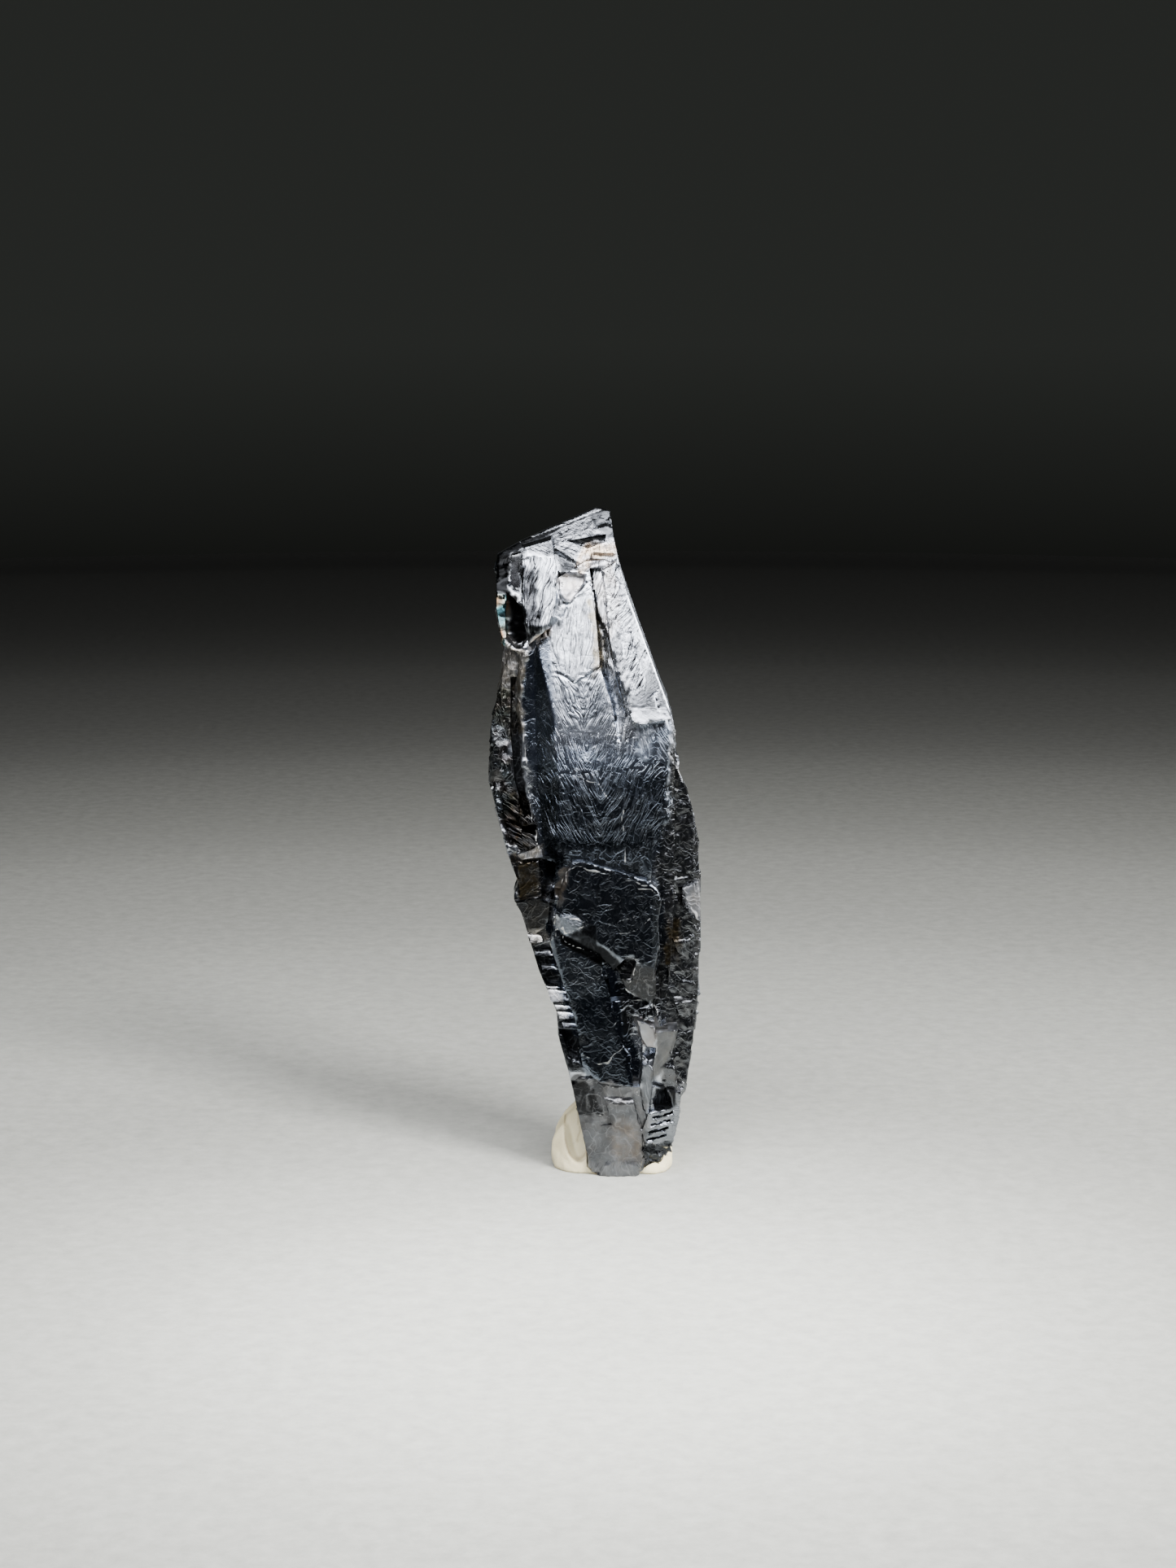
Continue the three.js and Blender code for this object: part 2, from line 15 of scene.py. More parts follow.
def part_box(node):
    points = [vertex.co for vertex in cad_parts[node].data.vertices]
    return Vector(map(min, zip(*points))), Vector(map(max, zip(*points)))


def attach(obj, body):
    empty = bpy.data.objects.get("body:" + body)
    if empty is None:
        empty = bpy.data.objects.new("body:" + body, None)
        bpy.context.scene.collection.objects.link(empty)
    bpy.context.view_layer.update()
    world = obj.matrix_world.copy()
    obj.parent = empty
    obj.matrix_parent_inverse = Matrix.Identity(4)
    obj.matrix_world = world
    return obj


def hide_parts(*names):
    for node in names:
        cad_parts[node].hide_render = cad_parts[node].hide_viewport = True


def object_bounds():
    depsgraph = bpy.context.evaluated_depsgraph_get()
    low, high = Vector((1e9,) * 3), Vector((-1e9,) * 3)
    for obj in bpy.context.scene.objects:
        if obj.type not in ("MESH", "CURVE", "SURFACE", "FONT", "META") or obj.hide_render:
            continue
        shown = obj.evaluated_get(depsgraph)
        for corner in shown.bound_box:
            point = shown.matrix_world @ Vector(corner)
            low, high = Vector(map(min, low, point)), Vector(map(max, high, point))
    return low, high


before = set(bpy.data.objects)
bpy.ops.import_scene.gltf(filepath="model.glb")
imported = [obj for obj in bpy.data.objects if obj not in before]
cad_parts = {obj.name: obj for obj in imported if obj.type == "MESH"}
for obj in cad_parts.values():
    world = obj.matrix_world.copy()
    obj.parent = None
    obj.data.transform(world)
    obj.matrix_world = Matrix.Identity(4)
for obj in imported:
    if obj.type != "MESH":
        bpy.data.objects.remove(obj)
cad_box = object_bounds()
mm = 0.001
print("the solids' box, mm:", [[round(v / mm, 2) for v in corner] for corner in cad_box])

# %% [markdown]
# ## Camera
# The crystal is seen a little from above with a long lens, which keeps its upright edges nearly
# parallel.

# %% Place the camera
VIEW_ELEVATION = math.radians(10)
VIEW_DISTANCE = 252 * mm
AIM = Vector((-0.51, -0.69, 29.16)) * mm

camera_data = bpy.data.cameras.new("camera")
camera_data.lens = 77.45
camera_data.sensor_width = 36
camera_data.clip_start = 5 * mm
camera = bpy.data.objects.new("camera", camera_data)
back_off = Vector((0, -math.cos(VIEW_ELEVATION), math.sin(VIEW_ELEVATION))) * VIEW_DISTANCE
camera.location = AIM + back_off
camera.rotation_euler = (math.pi / 2 - VIEW_ELEVATION, 0, 0)
bpy.context.collection.objects.link(camera)
bpy.context.scene.camera = camera
print("camera at, mm:", [round(v / mm, 1) for v in camera.location])

# %% [markdown]
# ## Helpers for materials
# A node is added, its plain sockets are filled in, and its links are made in one call, so that each
# material below reads like a recipe.

# %% Node helper
def add_node(tree, kind, links=None, **settings):
    node = tree.nodes.new(kind)
    for name, value in settings.items():
        setattr(node, name, value)
    for socket, source in (links or {}).items():
        target = node.inputs[socket]
        if isinstance(source, bpy.types.NodeSocket):
            tree.links.new(source, target)
        else:
            target.default_value = source
    return node


def new_material(name):
    material = bpy.data.materials.new(name)
    material.use_nodes = True
    return material, material.node_tree, material.node_tree.nodes["Principled BSDF"]


def math_node(tree, operation, a, b=0.0, clamp=False):
    node = add_node(tree, "ShaderNodeMath", {0: a, 1: b}, operation=operation, use_clamp=clamp)
    return node.outputs[0]


def mix_colours(tree, factor, a, b, blend_type="MIX"):
    inputs = {"Factor": factor, 6: a, 7: b}
    return add_node(tree, "ShaderNodeMix", inputs, data_type="RGBA", blend_type=blend_type).outputs[2]


def vector_math(tree, operation, a, b, output="Vector"):
    return add_node(tree, "ShaderNodeVectorMath", {0: a, 1: b}, operation=operation).outputs[output]


def object_place(tree):
    return add_node(tree, "ShaderNodeTexCoord").outputs["Object"]


def noise_on(tree, place, scale, detail, **more):
    """A noise from 0 to 1 with lumps of about 1 / `scale` metres."""
    inputs = {"Vector": place, "Scale": scale, "Detail": detail, **more}
    return add_node(tree, "ShaderNodeTexNoise", inputs).outputs["Fac"]


def map_range(tree, value, start, end, low=0.0, high=1.0, kind="LINEAR"):
    """`value` from `start` to `end` becomes `low` to `high`, and stays there beyond."""
    limits = {"Value": value, "From Min": start, "From Max": end, "To Min": low, "To Max": high}
    return add_node(tree, "ShaderNodeMapRange", limits, interpolation_type=kind).outputs["Result"]


def colour_ramp(tree, factor, stops, interpolation="LINEAR"):
    """A ramp through `stops`, each a position and a colour."""
    node = add_node(tree, "ShaderNodeValToRGB", {"Fac": factor})
    ramp = node.color_ramp
    ramp.interpolation = interpolation
    for position, _ in stops[1:-1]:
        ramp.elements.new(position)
    for element, (position, colour) in zip(ramp.elements, stops):
        element.position = position
        element.color = (*colour, 1)
    return node.outputs["Color"]


def new_group(name, inputs, output):
    """An empty node group with named inputs and one output, its input node and its output socket."""
    group = bpy.data.node_groups.new(name, "ShaderNodeTree")
    for socket in inputs:
        kind = "NodeSocketVector" if socket == "Place" else "NodeSocketFloat"
        group.interface.new_socket(socket, in_out="INPUT", socket_type=kind)
    group.interface.new_socket(output, in_out="OUTPUT", socket_type="NodeSocketFloat")
    given = group.nodes.new("NodeGroupInput").outputs
    return group, given, group.nodes.new("NodeGroupOutput").inputs[output]


# %% [markdown]
# ## Floor and surroundings
# A polished metallic crystal shows whatever stands round it, so its surroundings are half of its look.
# The floor is a round sheet of pale paper with a small pool of light painted into its colour near the
# crystal. Its colour darkens away from the pool, and is nearly black well before its edge.

# %% Floor with a painted pool of light
POOL_CENTRE = Vector((0, -40, 0)) * mm
FLOOR_RADIUS = 480 * mm
PAINTED_POOL_TONES = (  # share of the radius, and how bright the painted pool of light leaves the paper there
    (0.03, 0.69), (0.0625, 0.53), (0.09, 0.41), (0.12, 0.31), (0.17, 0.275), (0.25, 0.182), (0.35, 0.108),
    (0.48, 0.047), (0.66, 0.0175), (0.93, 0.0072))
PAPER_COLOUR = (0.56, 0.569, 0.532, 1)
bpy.ops.object.select_all(action="DESELECT")
bpy.ops.mesh.primitive_circle_add(vertices=128, radius=FLOOR_RADIUS, fill_type="NGON",
                                  location=POOL_CENTRE + Vector((0, 0, cad_box[0][2])))
floor = bpy.context.object
bpy.ops.object.transform_apply(location=True)
floor.name = "floor"
floor_material, tree, floor_shader = new_material("paper_with_painted_pool")
place = object_place(tree)
# The pool of light and the dark round it are painted into the paper's colour, by distance from the pool's
# centre.
from_pool = vector_math(tree, "DISTANCE", place, POOL_CENTRE, "Value")
share = math_node(tree, "DIVIDE", from_pool, FLOOR_RADIUS)
painted_pool_fade = colour_ramp(tree, share, [(position, (pale,) * 3) for position, pale in PAINTED_POOL_TONES], "CARDINAL")
mottle = noise_on(tree, place, 700.0, 4.0, Roughness=0.7)
paper_tone = map_range(tree, mottle, 0.3, 0.7, 0.88, 1.12)
tone = math_node(tree, "MULTIPLY", painted_pool_fade, paper_tone)
paper = mix_colours(tree, tone, (0, 0, 0, 1), PAPER_COLOUR)
tree.links.new(paper, floor_shader.inputs["Base Color"])
floor_shader.inputs["Roughness"].default_value = 0.8
floor_shader.inputs["Specular IOR Level"].default_value = 0.0
floor.data.materials.append(floor_material)

# %% [markdown]
# The surroundings are nearly black, with a soft white glow high in front, where a studio hangs its
# biggest box. The glow has no hard edge, so the crystal's upright faces run smoothly from white to
# navy. A small bright spot at the right rear is there for the bevel down the right edge to mirror.

# %% Dark surroundings with a soft glow high in front
RIM_DIRECTION = (0.836, 0.494, 0.236)
ROOM_LOW = (0.0090, 0.0094, 0.0085, 1)
ROOM_HIGH = (0.0235, 0.0255, 0.0230, 1)
ROOM_FRONT = (0.027, 0.030, 0.038, 1)
GLOW = (11.5, 11.5, 11.8, 1)
RIM_LIGHT = (14.0, 14.0, 14.0, 1)
world = bpy.data.worlds.new("dark_studio")
bpy.context.scene.world = world
world.use_nodes = True
tree = world.node_tree
ray = add_node(tree, "ShaderNodeTexCoord").outputs["Generated"]
parts = add_node(tree, "ShaderNodeSeparateXYZ", {0: ray})
up = parts.outputs["Z"]
front = parts.outputs["Y"]
wall = map_range(tree, up, -0.109, -0.045)
backdrop = mix_colours(tree, wall, ROOM_LOW, ROOM_HIGH)
facing = map_range(tree, front, 0.1, -0.35, kind="SMOOTHSTEP")
room = mix_colours(tree, facing, backdrop, ROOM_FRONT)
glow_height = map_range(tree, up, 0.40, 0.80, kind="SMOOTHSTEP")
glow_front = map_range(tree, front, -0.05, -0.65, kind="SMOOTHSTEP")
glow = math_node(tree, "MULTIPLY", glow_height, glow_front)
sky = mix_colours(tree, glow, room, GLOW)
towards_rim = vector_math(tree, "DISTANCE", ray, RIM_DIRECTION, "Value")
rim = map_range(tree, towards_rim, 0.30, 0.18, kind="SMOOTHSTEP")
sky = mix_colours(tree, rim, sky, RIM_LIGHT)
tree.links.new(sky, tree.nodes["Background"].inputs["Color"])
tree.nodes["Background"].inputs["Strength"].default_value = 1.0

# %% [markdown]
# A window light from the front right gives the soft shadow. It is hidden from reflections, because the
# metal would mirror it as a hard white square. Two larger boxes, above and at the right, are mirrored.

# %% Soft lights
def soft_light(name, place_mm, size_mm, watts, colour=(1, 1, 1), aim_mm=(0, 0, 25)):
    data = bpy.data.lights.new(name, "AREA")
    data.shape = "RECTANGLE"
    data.size = size_mm[0] * mm
    data.size_y = size_mm[1] * mm
    data.energy = watts
    data.color = colour
    light = bpy.data.objects.new(name, data)
    light.location = Vector(place_mm) * mm
    aim = (Vector(aim_mm) - Vector(place_mm)).to_track_quat("-Z", "Y")
    light.rotation_euler = aim.to_euler()
    bpy.context.collection.objects.link(light)
    return light


paper_light = soft_light("window", (260, -270, 300), (130, 130), 9.0, (1.0, 0.99, 0.96))
paper_light.visible_glossy = False
soft_light("overhead_box", (0, -170, 330), (330, 260), 1.9, (1.0, 0.99, 0.97))
soft_light("right_box", (330, -20, 190), (200, 200), 1.5)

# %% [markdown]
# ## Crystal: a dense skin
# On the real crystal the big faces are flat, but each one carries fine growth relief: strands, creases
# and small tilted blocks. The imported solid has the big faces. Its copy is diced into a fine even skin
# that keeps the sharp edges, so that the relief can then be pressed into it in code. The rear, where
# less detail is seen, gets a coarser skin.

# %% Copy the solid
def solo(thing):
    bpy.ops.object.select_all(action="DESELECT")
    thing.select_set(True)
    bpy.context.view_layer.objects.active = thing


def copy_of_node(node, name):
    source = bpy.data.objects[node]
    piece = bpy.data.objects.new(name, source.data.copy())
    piece.data.materials.clear()
    bpy.context.collection.objects.link(piece)
    solo(piece)
    bpy.ops.object.mode_set(mode="EDIT")
    bpy.ops.mesh.select_all(action="SELECT")
    bpy.ops.mesh.remove_doubles(threshold=0.002 * mm)
    bpy.ops.mesh.dissolve_limited(angle_limit=math.radians(0.5))
    bpy.ops.object.mode_set(mode="OBJECT")
    return piece


def places_of(mesh):
    """Every vertex place in mm."""
    flat = np.empty(len(mesh.vertices) * 3, np.float32)
    mesh.vertices.foreach_get("co", flat)
    return flat.reshape(-1, 3).astype(float) / mm


def normals_of(mesh):
    flat = np.empty(len(mesh.vertices) * 3, np.float32)
    mesh.vertex_normals.foreach_get("vector", flat)
    return flat.reshape(-1, 3).astype(float)


def keep_on(mesh, name, values):
    """Keeps one value for every vertex, for the material to read."""
    kept = mesh.attributes.new(name, "FLOAT", "POINT")
    kept.data.foreach_set("value", values.astype(np.float32))


def triangles_in(mesh):
    return sum(len(face.vertices) - 2 for face in mesh.polygons)


def move_to(mesh, places):
    mesh.vertices.foreach_set("co", (places * mm).astype(np.float32).ravel())
    mesh.update()


# %% Dice it finely, and thin out the rear
LEAN = math.tan(math.radians(9.5))  # the growth plates lean back by this much for each mm of height
TWIN_PLANE_Y = -3.67                # where the leaning plane between front and rear meets the floor

crystal = copy_of_node("galena_crystal", "twin_crystal")
dice = crystal.modifiers.new("dice", "REMESH")
dice.mode = "SHARP"
dice.octree_depth = 9
dice.scale = 0.75
dice.use_remove_disconnected = False
bpy.ops.object.modifier_apply(modifier="dice")


def behind_twin_plane(places):
    return places[:, 1] - TWIN_PLANE_Y - LEAN * places[:, 2]


rear = crystal.vertex_groups.new(name="rear")
skin = places_of(crystal.data)
normals = normals_of(crystal.data)
is_rear = (behind_twin_plane(skin) > 0.9) | (normals[:, 1] > 0.5)
rear.add(np.nonzero(is_rear)[0].tolist(), 1.0, "REPLACE")
thin = crystal.modifiers.new("thin", "DECIMATE")
thin.ratio = 0.66
thin.vertex_group = "rear"
bpy.ops.object.modifier_apply(modifier="thin")
crystal.vertex_groups.clear()
skin = places_of(crystal.data)
normals = normals_of(crystal.data)
print("crystal skin:", len(skin), "vertices,", triangles_in(crystal.data), "triangles")
print("share of the rear before thinning:", round(float(is_rear.mean()), 2))

# %% [markdown]
# ## Crystal: the kinds of relief
# Five kinds of growth and breakage cover the real faces. Strands are long thin ridges, like feathers.
# Creases cross each other, like crumpled foil. Blocks are the little cubes that galena cleaves into,
# each tilted its own way. Grain is the rough crust between plates. Swell is a slow bend of a whole
# face. Each kind goes from places to heights in mm and is made from noise. The tilts of the blocks
# depend on a seed, which is set first, so that every run is the same.

# %% Noise fields
BLOCK_SEED = 2
noise.seed_set(BLOCK_SEED)


def cloud(places, size, seed, stretch=(1, 1, 1)):
    """Smooth values from about -1 to 1; `size` is the width of one lump in mm."""
    spots = places / (np.array(stretch) * size) + 17.3 * seed
    return np.array([noise.noise(spot) for spot in spots.tolist()])


def crests(places, size, seed, stretch=(1, 1, 1), sharp=2.6):
    """Crests between smooth hollows: 1 on a crest, 0 in a hollow. A sharp crest is a thin one."""
    return 1 - np.clip(np.abs(cloud(places, size, seed, stretch)) * sharp, 0, 1)


def blocks(places, size, seed, slope):
    """Small flat blocks, each tilted its own way by up to about `slope`, in mm of height."""
    spots = places / size + 17.3 * seed
    heights = np.empty(len(spots))
    for i, spot in enumerate(spots.tolist()):
        centre = noise.voronoi(spot)[1][0]
        tilt = noise.noise_vector(centre * 3.71)
        heights[i] = (Vector(spot) - centre).dot(tilt)
    return heights * size * slope * 2


def grain(places, size, seed):
    return cloud(places, size, seed) + 0.6 * cloud(places, size * 0.48, seed + 1)


def flow_of(places, lean=0, spine=None, apex=None):
    """Places across and along the strands of a face seen from the front. They lean right going down by
    `lean` degrees. With a spine they lean towards its x from both sides; from an apex they spread out."""
    x, z = places[:, 0], places[:, 2]
    if spine is not None:
        x = np.abs(x - spine)
        lean = -lean
    if apex is not None:
        dx, dz = x - apex[0], apex[1] - z
        along = np.hypot(dx, dz)
        across = np.arctan2(dx, dz) * 4.0
    else:
        turn = math.radians(lean)
        across = x * math.cos(turn) + z * math.sin(turn)
        along = z * math.cos(turn) - x * math.sin(turn)
    wander = cloud(places, 2.6, 5) * 0.5 + cloud(places, 0.9, 6) * 0.12
    return np.column_stack([across + wander, places[:, 1] * 0.25, along])


def strands(flow, width, length, seed):
    """Long thin ridges, a few wide ones and more narrow ones."""
    wide = crests(flow, width, seed, (1, 1, length / width))
    narrow = crests(flow, width * 0.55, seed + 1, (1, 1, length / width))
    return wide + 0.5 * narrow


# %% [markdown]
# ## Crystal: zones
# Each zone is an area of the front with its own relief and finish, given by its outline [x, z] in mm.
# The edge of a zone is made ragged by noise. The finish is kept as values on the skin's points, which
# the material reads later: how frosted; how much the colour is darkened, partly as tarnish and partly
# as painted shade and painted dark reflection; how much tan, brown, cream or rainbow tarnish; how much
# blue, a painted reflection of the dark bluish room; and how strongly fine strands and creases show.
# Below 0 they show as grooves darkened by painted shade, above it as lines lightened by a painted
# highlight.

# %% Masks and finishes
def inside(outline, places, soft=0.15, ragged=0.25, seed=1):
    """1 inside the outline, 0 outside it, with a soft ragged edge."""
    corners = np.array(outline, float)
    x, z = places[:, 0], places[:, 2]
    within = np.zeros(len(places), bool)
    nearest = np.full(len(places), 1e9)
    for (x0, z0), (x1, z1) in zip(corners, np.roll(corners, -1, axis=0)):
        if z0 != z1:
            crosses = ((z0 > z) != (z1 > z)) & (x < (x1 - x0) * (z - z0) / (z1 - z0) + x0)
            within ^= crosses
        span = (x1 - x0) ** 2 + (z1 - z0) ** 2
        t = np.clip(((x - x0) * (x1 - x0) + (z - z0) * (z1 - z0)) / span, 0, 1)
        nearest = np.minimum(nearest, np.hypot(x - x0 - t * (x1 - x0), z - z0 - t * (z1 - z0)))
    depth = np.where(within, nearest, -nearest)
    near = np.abs(depth) < soft + ragged
    if near.any():
        depth[near] += ragged * 1.4 * cloud(places[near], 0.7, seed + 40)
    t = np.clip(depth / (2 * soft) + 0.5, 0, 1)
    return t * t * (3 - 2 * t)


# The tones: how much of the metal's shine each of them takes away; the darkening is partly tarnish and
# partly painted shade and painted dark reflection. Under so bright a glow a face has to lose nearly all
# of it before it looks dark.
BARE, FAINT, LIGHT, MIDDLE, DULL, DUSKY = 0.0, 0.15, 0.4, 0.55, 0.65, 0.75
DIM, DARK, DEEP, NEAR_BLACK, BLACK = 0.83, 0.89, 0.94, 0.97, 0.988

FINISHES = ("frost", "dark", "tan", "brown", "cream", "blue", "rainbow", "feathered", "creased", "gritty")
finish = {name: np.zeros(len(skin)) for name in FINISHES}
finish["frost"][:] = 0.20
finish["dark"][:] = 0.35
finish["creased"][:] = 0.5
finish["gritty"][:] = 0.4
relief = np.zeros(len(skin))
flow = flow_of(skin + skin[:, 1:2] * (1, 0, 0))
faces_front = behind_twin_plane(skin) < 0.6


def relief_of(places, along, seed, strand=None, crease=None, block=None, rough=None, swell=None):
    """Heights in mm. Each kind is given by its height or slope, then its size in mm."""
    heights = np.zeros(len(places))
    if strand:
        height, width, length = strand
        heights += height * strands(along, width, length, seed)
    if crease:
        height, size = crease
        bent = places + 0.35 * size * np.column_stack([cloud(places, size, seed + k) for k in (21, 22, 23)])
        large = crests(bent, size, seed + 2, sharp=5)
        small = crests(bent, size * 0.5, seed + 3, sharp=4)
        heights += height * (large + 0.6 * small)
    if block:
        slope, size = block
        heights += blocks(places, size, seed + 4, slope)
    if rough:
        height, size = rough
        heights += height * grain(places, size, seed + 7)
    if swell:
        height, size = swell
        heights += height * cloud(places, size, seed + 9)
    return heights


def zone(outline, seed, soft=0.15, ragged=0.25, lean=0, spine=None, apex=None, **given):
    """Paints one zone's relief and finish over what is there. `given` names both."""
    kinds = {name: value for name, value in given.items() if name not in FINISHES}
    finishes = {name: value for name, value in given.items() if name in FINISHES}
    mask = np.zeros(len(skin))
    mask[faces_front] = inside(outline, skin[faces_front], soft, ragged, seed)
    reached = np.nonzero(mask > 0.002)[0]
    share = mask[reached]
    along = flow_of(skin[reached], lean, spine, apex)
    flow[reached[share > 0.5]] = along[share > 0.5]
    relief[reached] += share * (relief_of(skin[reached], along, seed, **kinds) - relief[reached])
    for name, value in finishes.items():
        finish[name][reached] += share * (value - finish[name][reached])


def set_finish(where, **values):
    for name, value in values.items():
        finish[name][where] = value


# %% [markdown]
# First comes what the sides and the rear have everywhere: a slight swell, small tilted blocks and
# upright growth lines. The front zones then replace it, the large ones first.

# %% Relief all over
all_over = {"swell": (0.05, 3.5), "block": (0.08, 1.1), "strand": (0.02, 0.6, 5.0)}
relief[:] = relief_of(skin, flow, 3, **all_over)
print("relief all over, mm:", round(float(relief.min()), 3), "to", round(float(relief.max()), 3))

# %% The rear and the sides: long strands, tilted blocks and patches of tarnish
rear_facing = np.clip((behind_twin_plane(skin) - 0.2) / 0.6, 0, 1)
rear_kinds = {"strand": (0.05, 0.9, 7.0), "crease": (0.02, 1.4), "block": (0.22, 1.8), "swell": (0.06, 2.5)}
rear_relief = relief_of(skin, flow, 7, **rear_kinds)
relief += rear_facing * (rear_relief - relief)
clouding = np.clip(0.5 + 0.9 * cloud(skin, 3.2, 71) + 0.4 * cloud(skin, 1.1, 72), 0, 1)
finish["dark"] += rear_facing * (0.45 + 0.45 * clouding - finish["dark"])
finish["frost"] += rear_facing * (0.34 - 0.18 * clouding - finish["frost"])
finish["feathered"] += rear_facing * (1.3 * np.clip(2 * clouding - 0.8, -0.8, 1) - finish["feathered"])
finish["creased"] += rear_facing * (0.9 - finish["creased"])
finish["brown"] += rear_facing * 0.5 * np.clip(2 * cloud(skin, 4.0, 73), 0, 1)

# %% Upper front: the crown
zone([(-7.5, 45.8), (-5.5, 46.9), (0.2, 49.7), (1.6, 48.8), (2.0, 45.6), (0.6, 45.5), (-1.1, 44.8),
      (-2.4, 44.8), (-3.2, 46.0), (-5.5, 46.0), (-6.7, 45.0)], 11, lean=60, crease=(0.02, 0.9),
     strand=(0.012, 0.5, 2.0), swell=(0.03, 1.6), frost=0.3, dark=MIDDLE, creased=-1.4, feathered=-1.3)
zone([(-0.3, 48.7), (0.5, 49.3), (1.5, 48.9), (1.9, 46.9), (0.9, 47.2), (-0.1, 47.8)], 12,
     block=(0.12, 0.9), frost=0.3, dark=DARK, creased=-1.0, feathered=0)
# A black band along the sloping top edge is painted shade.
zone([(-7.5, 45.6), (-5.5, 47.1), (0.2, 49.9), (0.6, 49.0), (-0.8, 48.5), (-5.3, 46.4), (-7.2, 45.1)], 13,
     soft=0.06, ragged=0.08, swell=(0.01, 1.0), frost=0.3, dark=BLACK, creased=0.1, feathered=0.0,
     gritty=0.1)
zone([(-0.9, 46.7), (1.4, 46.9), (1.8, 45.6), (0.0, 45.3), (-0.8, 44.6), (-1.5, 44.8)], 14,
     crease=(0.012, 0.5), swell=(0.04, 1.2), strand=(0.02, 0.35, 1.0), frost=0.36, tan=0.8, dark=BARE,
     creased=-1.0)
# A thin dark lens under the crown is painted shade in a recess.
zone([(-2.0, 47.0), (0.9, 47.4), (0.8, 47.0), (-0.5, 46.7)], 15, soft=0.06, ragged=0.05, frost=0.3,
     dark=DARK, creased=0.1, feathered=0.0)
# The trough's dark crescent is painted shade.
zone([(-3.2, 46.2), (-2.4, 45.5), (-1.1, 45.0), (-1.3, 44.8), (-2.4, 44.7), (-3.0, 45.2)], 16, soft=0.08,
     ragged=0.05, frost=0.3, dark=DIM, creased=0.1, feathered=0.0)
zone([(-2.6, 44.7), (-0.7, 44.5), (-0.8, 44.0), (-1.8, 42.6), (-2.3, 42.7), (-2.9, 44.3)], 17, soft=0.08,
     ragged=0.08, strand=(0.03, 0.35, 1.2), lean=-30, frost=0.5, tan=0.35, dark=BARE, creased=-0.6)
zone([(-5.5, 46.1), (-3.0, 46.0), (-2.5, 44.7), (-2.4, 42.3), (-3.5, 40.2), (-4.9, 39.3), (-5.2, 40.8),
      (-5.7, 42.9)], 18, lean=-10, strand=(0.06, 0.5, 3.4), swell=(0.06, 1.2), frost=0.38, dark=BARE,
     feathered=-1.8, creased=0.2)
# The darker left part of the top block is painted shade.
zone([(-5.5, 45.4), (-4.5, 45.4), (-3.7, 40.9), (-3.9, 39.9), (-4.9, 39.6), (-5.5, 42.6)], 19, soft=0.4,
     lean=-10, strand=(0.09, 0.5, 3.0), frost=0.25, dark=DARK, feathered=-1.8)
zone([(-5.1, 39.6), (-4.0, 40.5), (-3.3, 40.8), (-3.4, 40.1), (-4.6, 39.0), (-5.0, 39.0)], 20, soft=0.08,
     block=(0.35, 0.35), frost=0.4, tan=0.6, dark=LIGHT)
# The black left column is painted shade.
zone([(-7.7, 45.8), (-6.3, 45.8), (-6.4, 42.9), (-7.4, 42.6)], 21, rough=(0.015, 0.5), block=(0.03, 0.8),
     frost=0.14, dark=BLACK, cream=0.1, creased=0.0, gritty=0.2)
zone([(-6.3, 46.0), (-5.3, 46.1), (-5.7, 43.2), (-6.3, 43.5)], 22, soft=0.06, ragged=0.05, frost=0.24,
     brown=0.3, dark=DUSKY, creased=0.1)
# The black pocket is painted shade.
zone([(-6.6, 42.9), (-5.9, 43.2), (-5.2, 41.4), (-5.0, 40.2), (-5.5, 39.2), (-5.9, 39.2), (-6.6, 40.5)], 23,
     rough=(0.04, 0.4), frost=0.3, dark=BLACK, brown=0.4, creased=0.0)
zone([(-7.9, 43.1), (-6.5, 43.1), (-6.3, 42.0), (-6.7, 39.3), (-7.8, 39.5)], 24, rough=(0.03, 0.5),
     block=(0.2, 0.8), frost=0.3, rainbow=1.0, dark=DUSKY)

# %% Upper front: left strands, cream face, groove and right face
zone([(-8.0, 39.9), (-6.6, 39.9), (-5.9, 39.2), (-5.2, 39.2), (-4.9, 35.4), (-5.3, 33.0), (-6.2, 32.4),
      (-8.0, 34.2)], 25, lean=3, strand=(0.12, 0.55, 2.6), rough=(0.02, 0.3), frost=0.33, brown=0.6,
     cream=0.2, dark=MIDDLE, feathered=1.2)
# This upright band is darkened and tinted blue, a painted reflection of the dark room.
zone([(-4.8, 39.5), (-3.5, 40.0), (-2.9, 35.4), (-2.8, 32.7), (-3.3, 31.5), (-4.2, 29.4), (-5.1, 31.2),
      (-5.4, 36.0)], 26, lean=4, rough=(0.004, 0.5), frost=0.13, gritty=0.5, creased=0.5, dark=DULL,
     blue=0.9)
zone([(-3.5, 39.9), (-2.4, 42.2), (-0.4, 43.4), (0.3, 40.5), (0.5, 37.9), (-1.5, 36.7), (-3.0, 37.8)], 34,
     soft=0.1, lean=-7, strand=(0.035, 0.5, 2.6), frost=0.42, feathered=-1.5, dark=BARE, creased=-0.5)
zone([(-0.5, 42.6), (0.1, 42.3), (0.5, 40.2), (0.7, 37.8), (-0.2, 37.3), (-0.1, 40.2)], 35, soft=0.15,
     lean=-7, strand=(0.02, 0.4, 2.0), frost=0.42, cream=0.8, feathered=-1.2, dark=LIGHT)
zone([(0.0, 45.4), (1.2, 45.4), (1.9, 40.0), (3.1, 34.5), (3.2, 31.2), (2.2, 31.2), (1.2, 35.0),
      (0.3, 38.0), (0.0, 42.0)], 27, soft=0.08, ragged=0.08, lean=-14, strand=(0.08, 0.45, 4.0),
     frost=0.26, dark=MIDDLE, brown=0.15, feathered=1.2, creased=0.0)
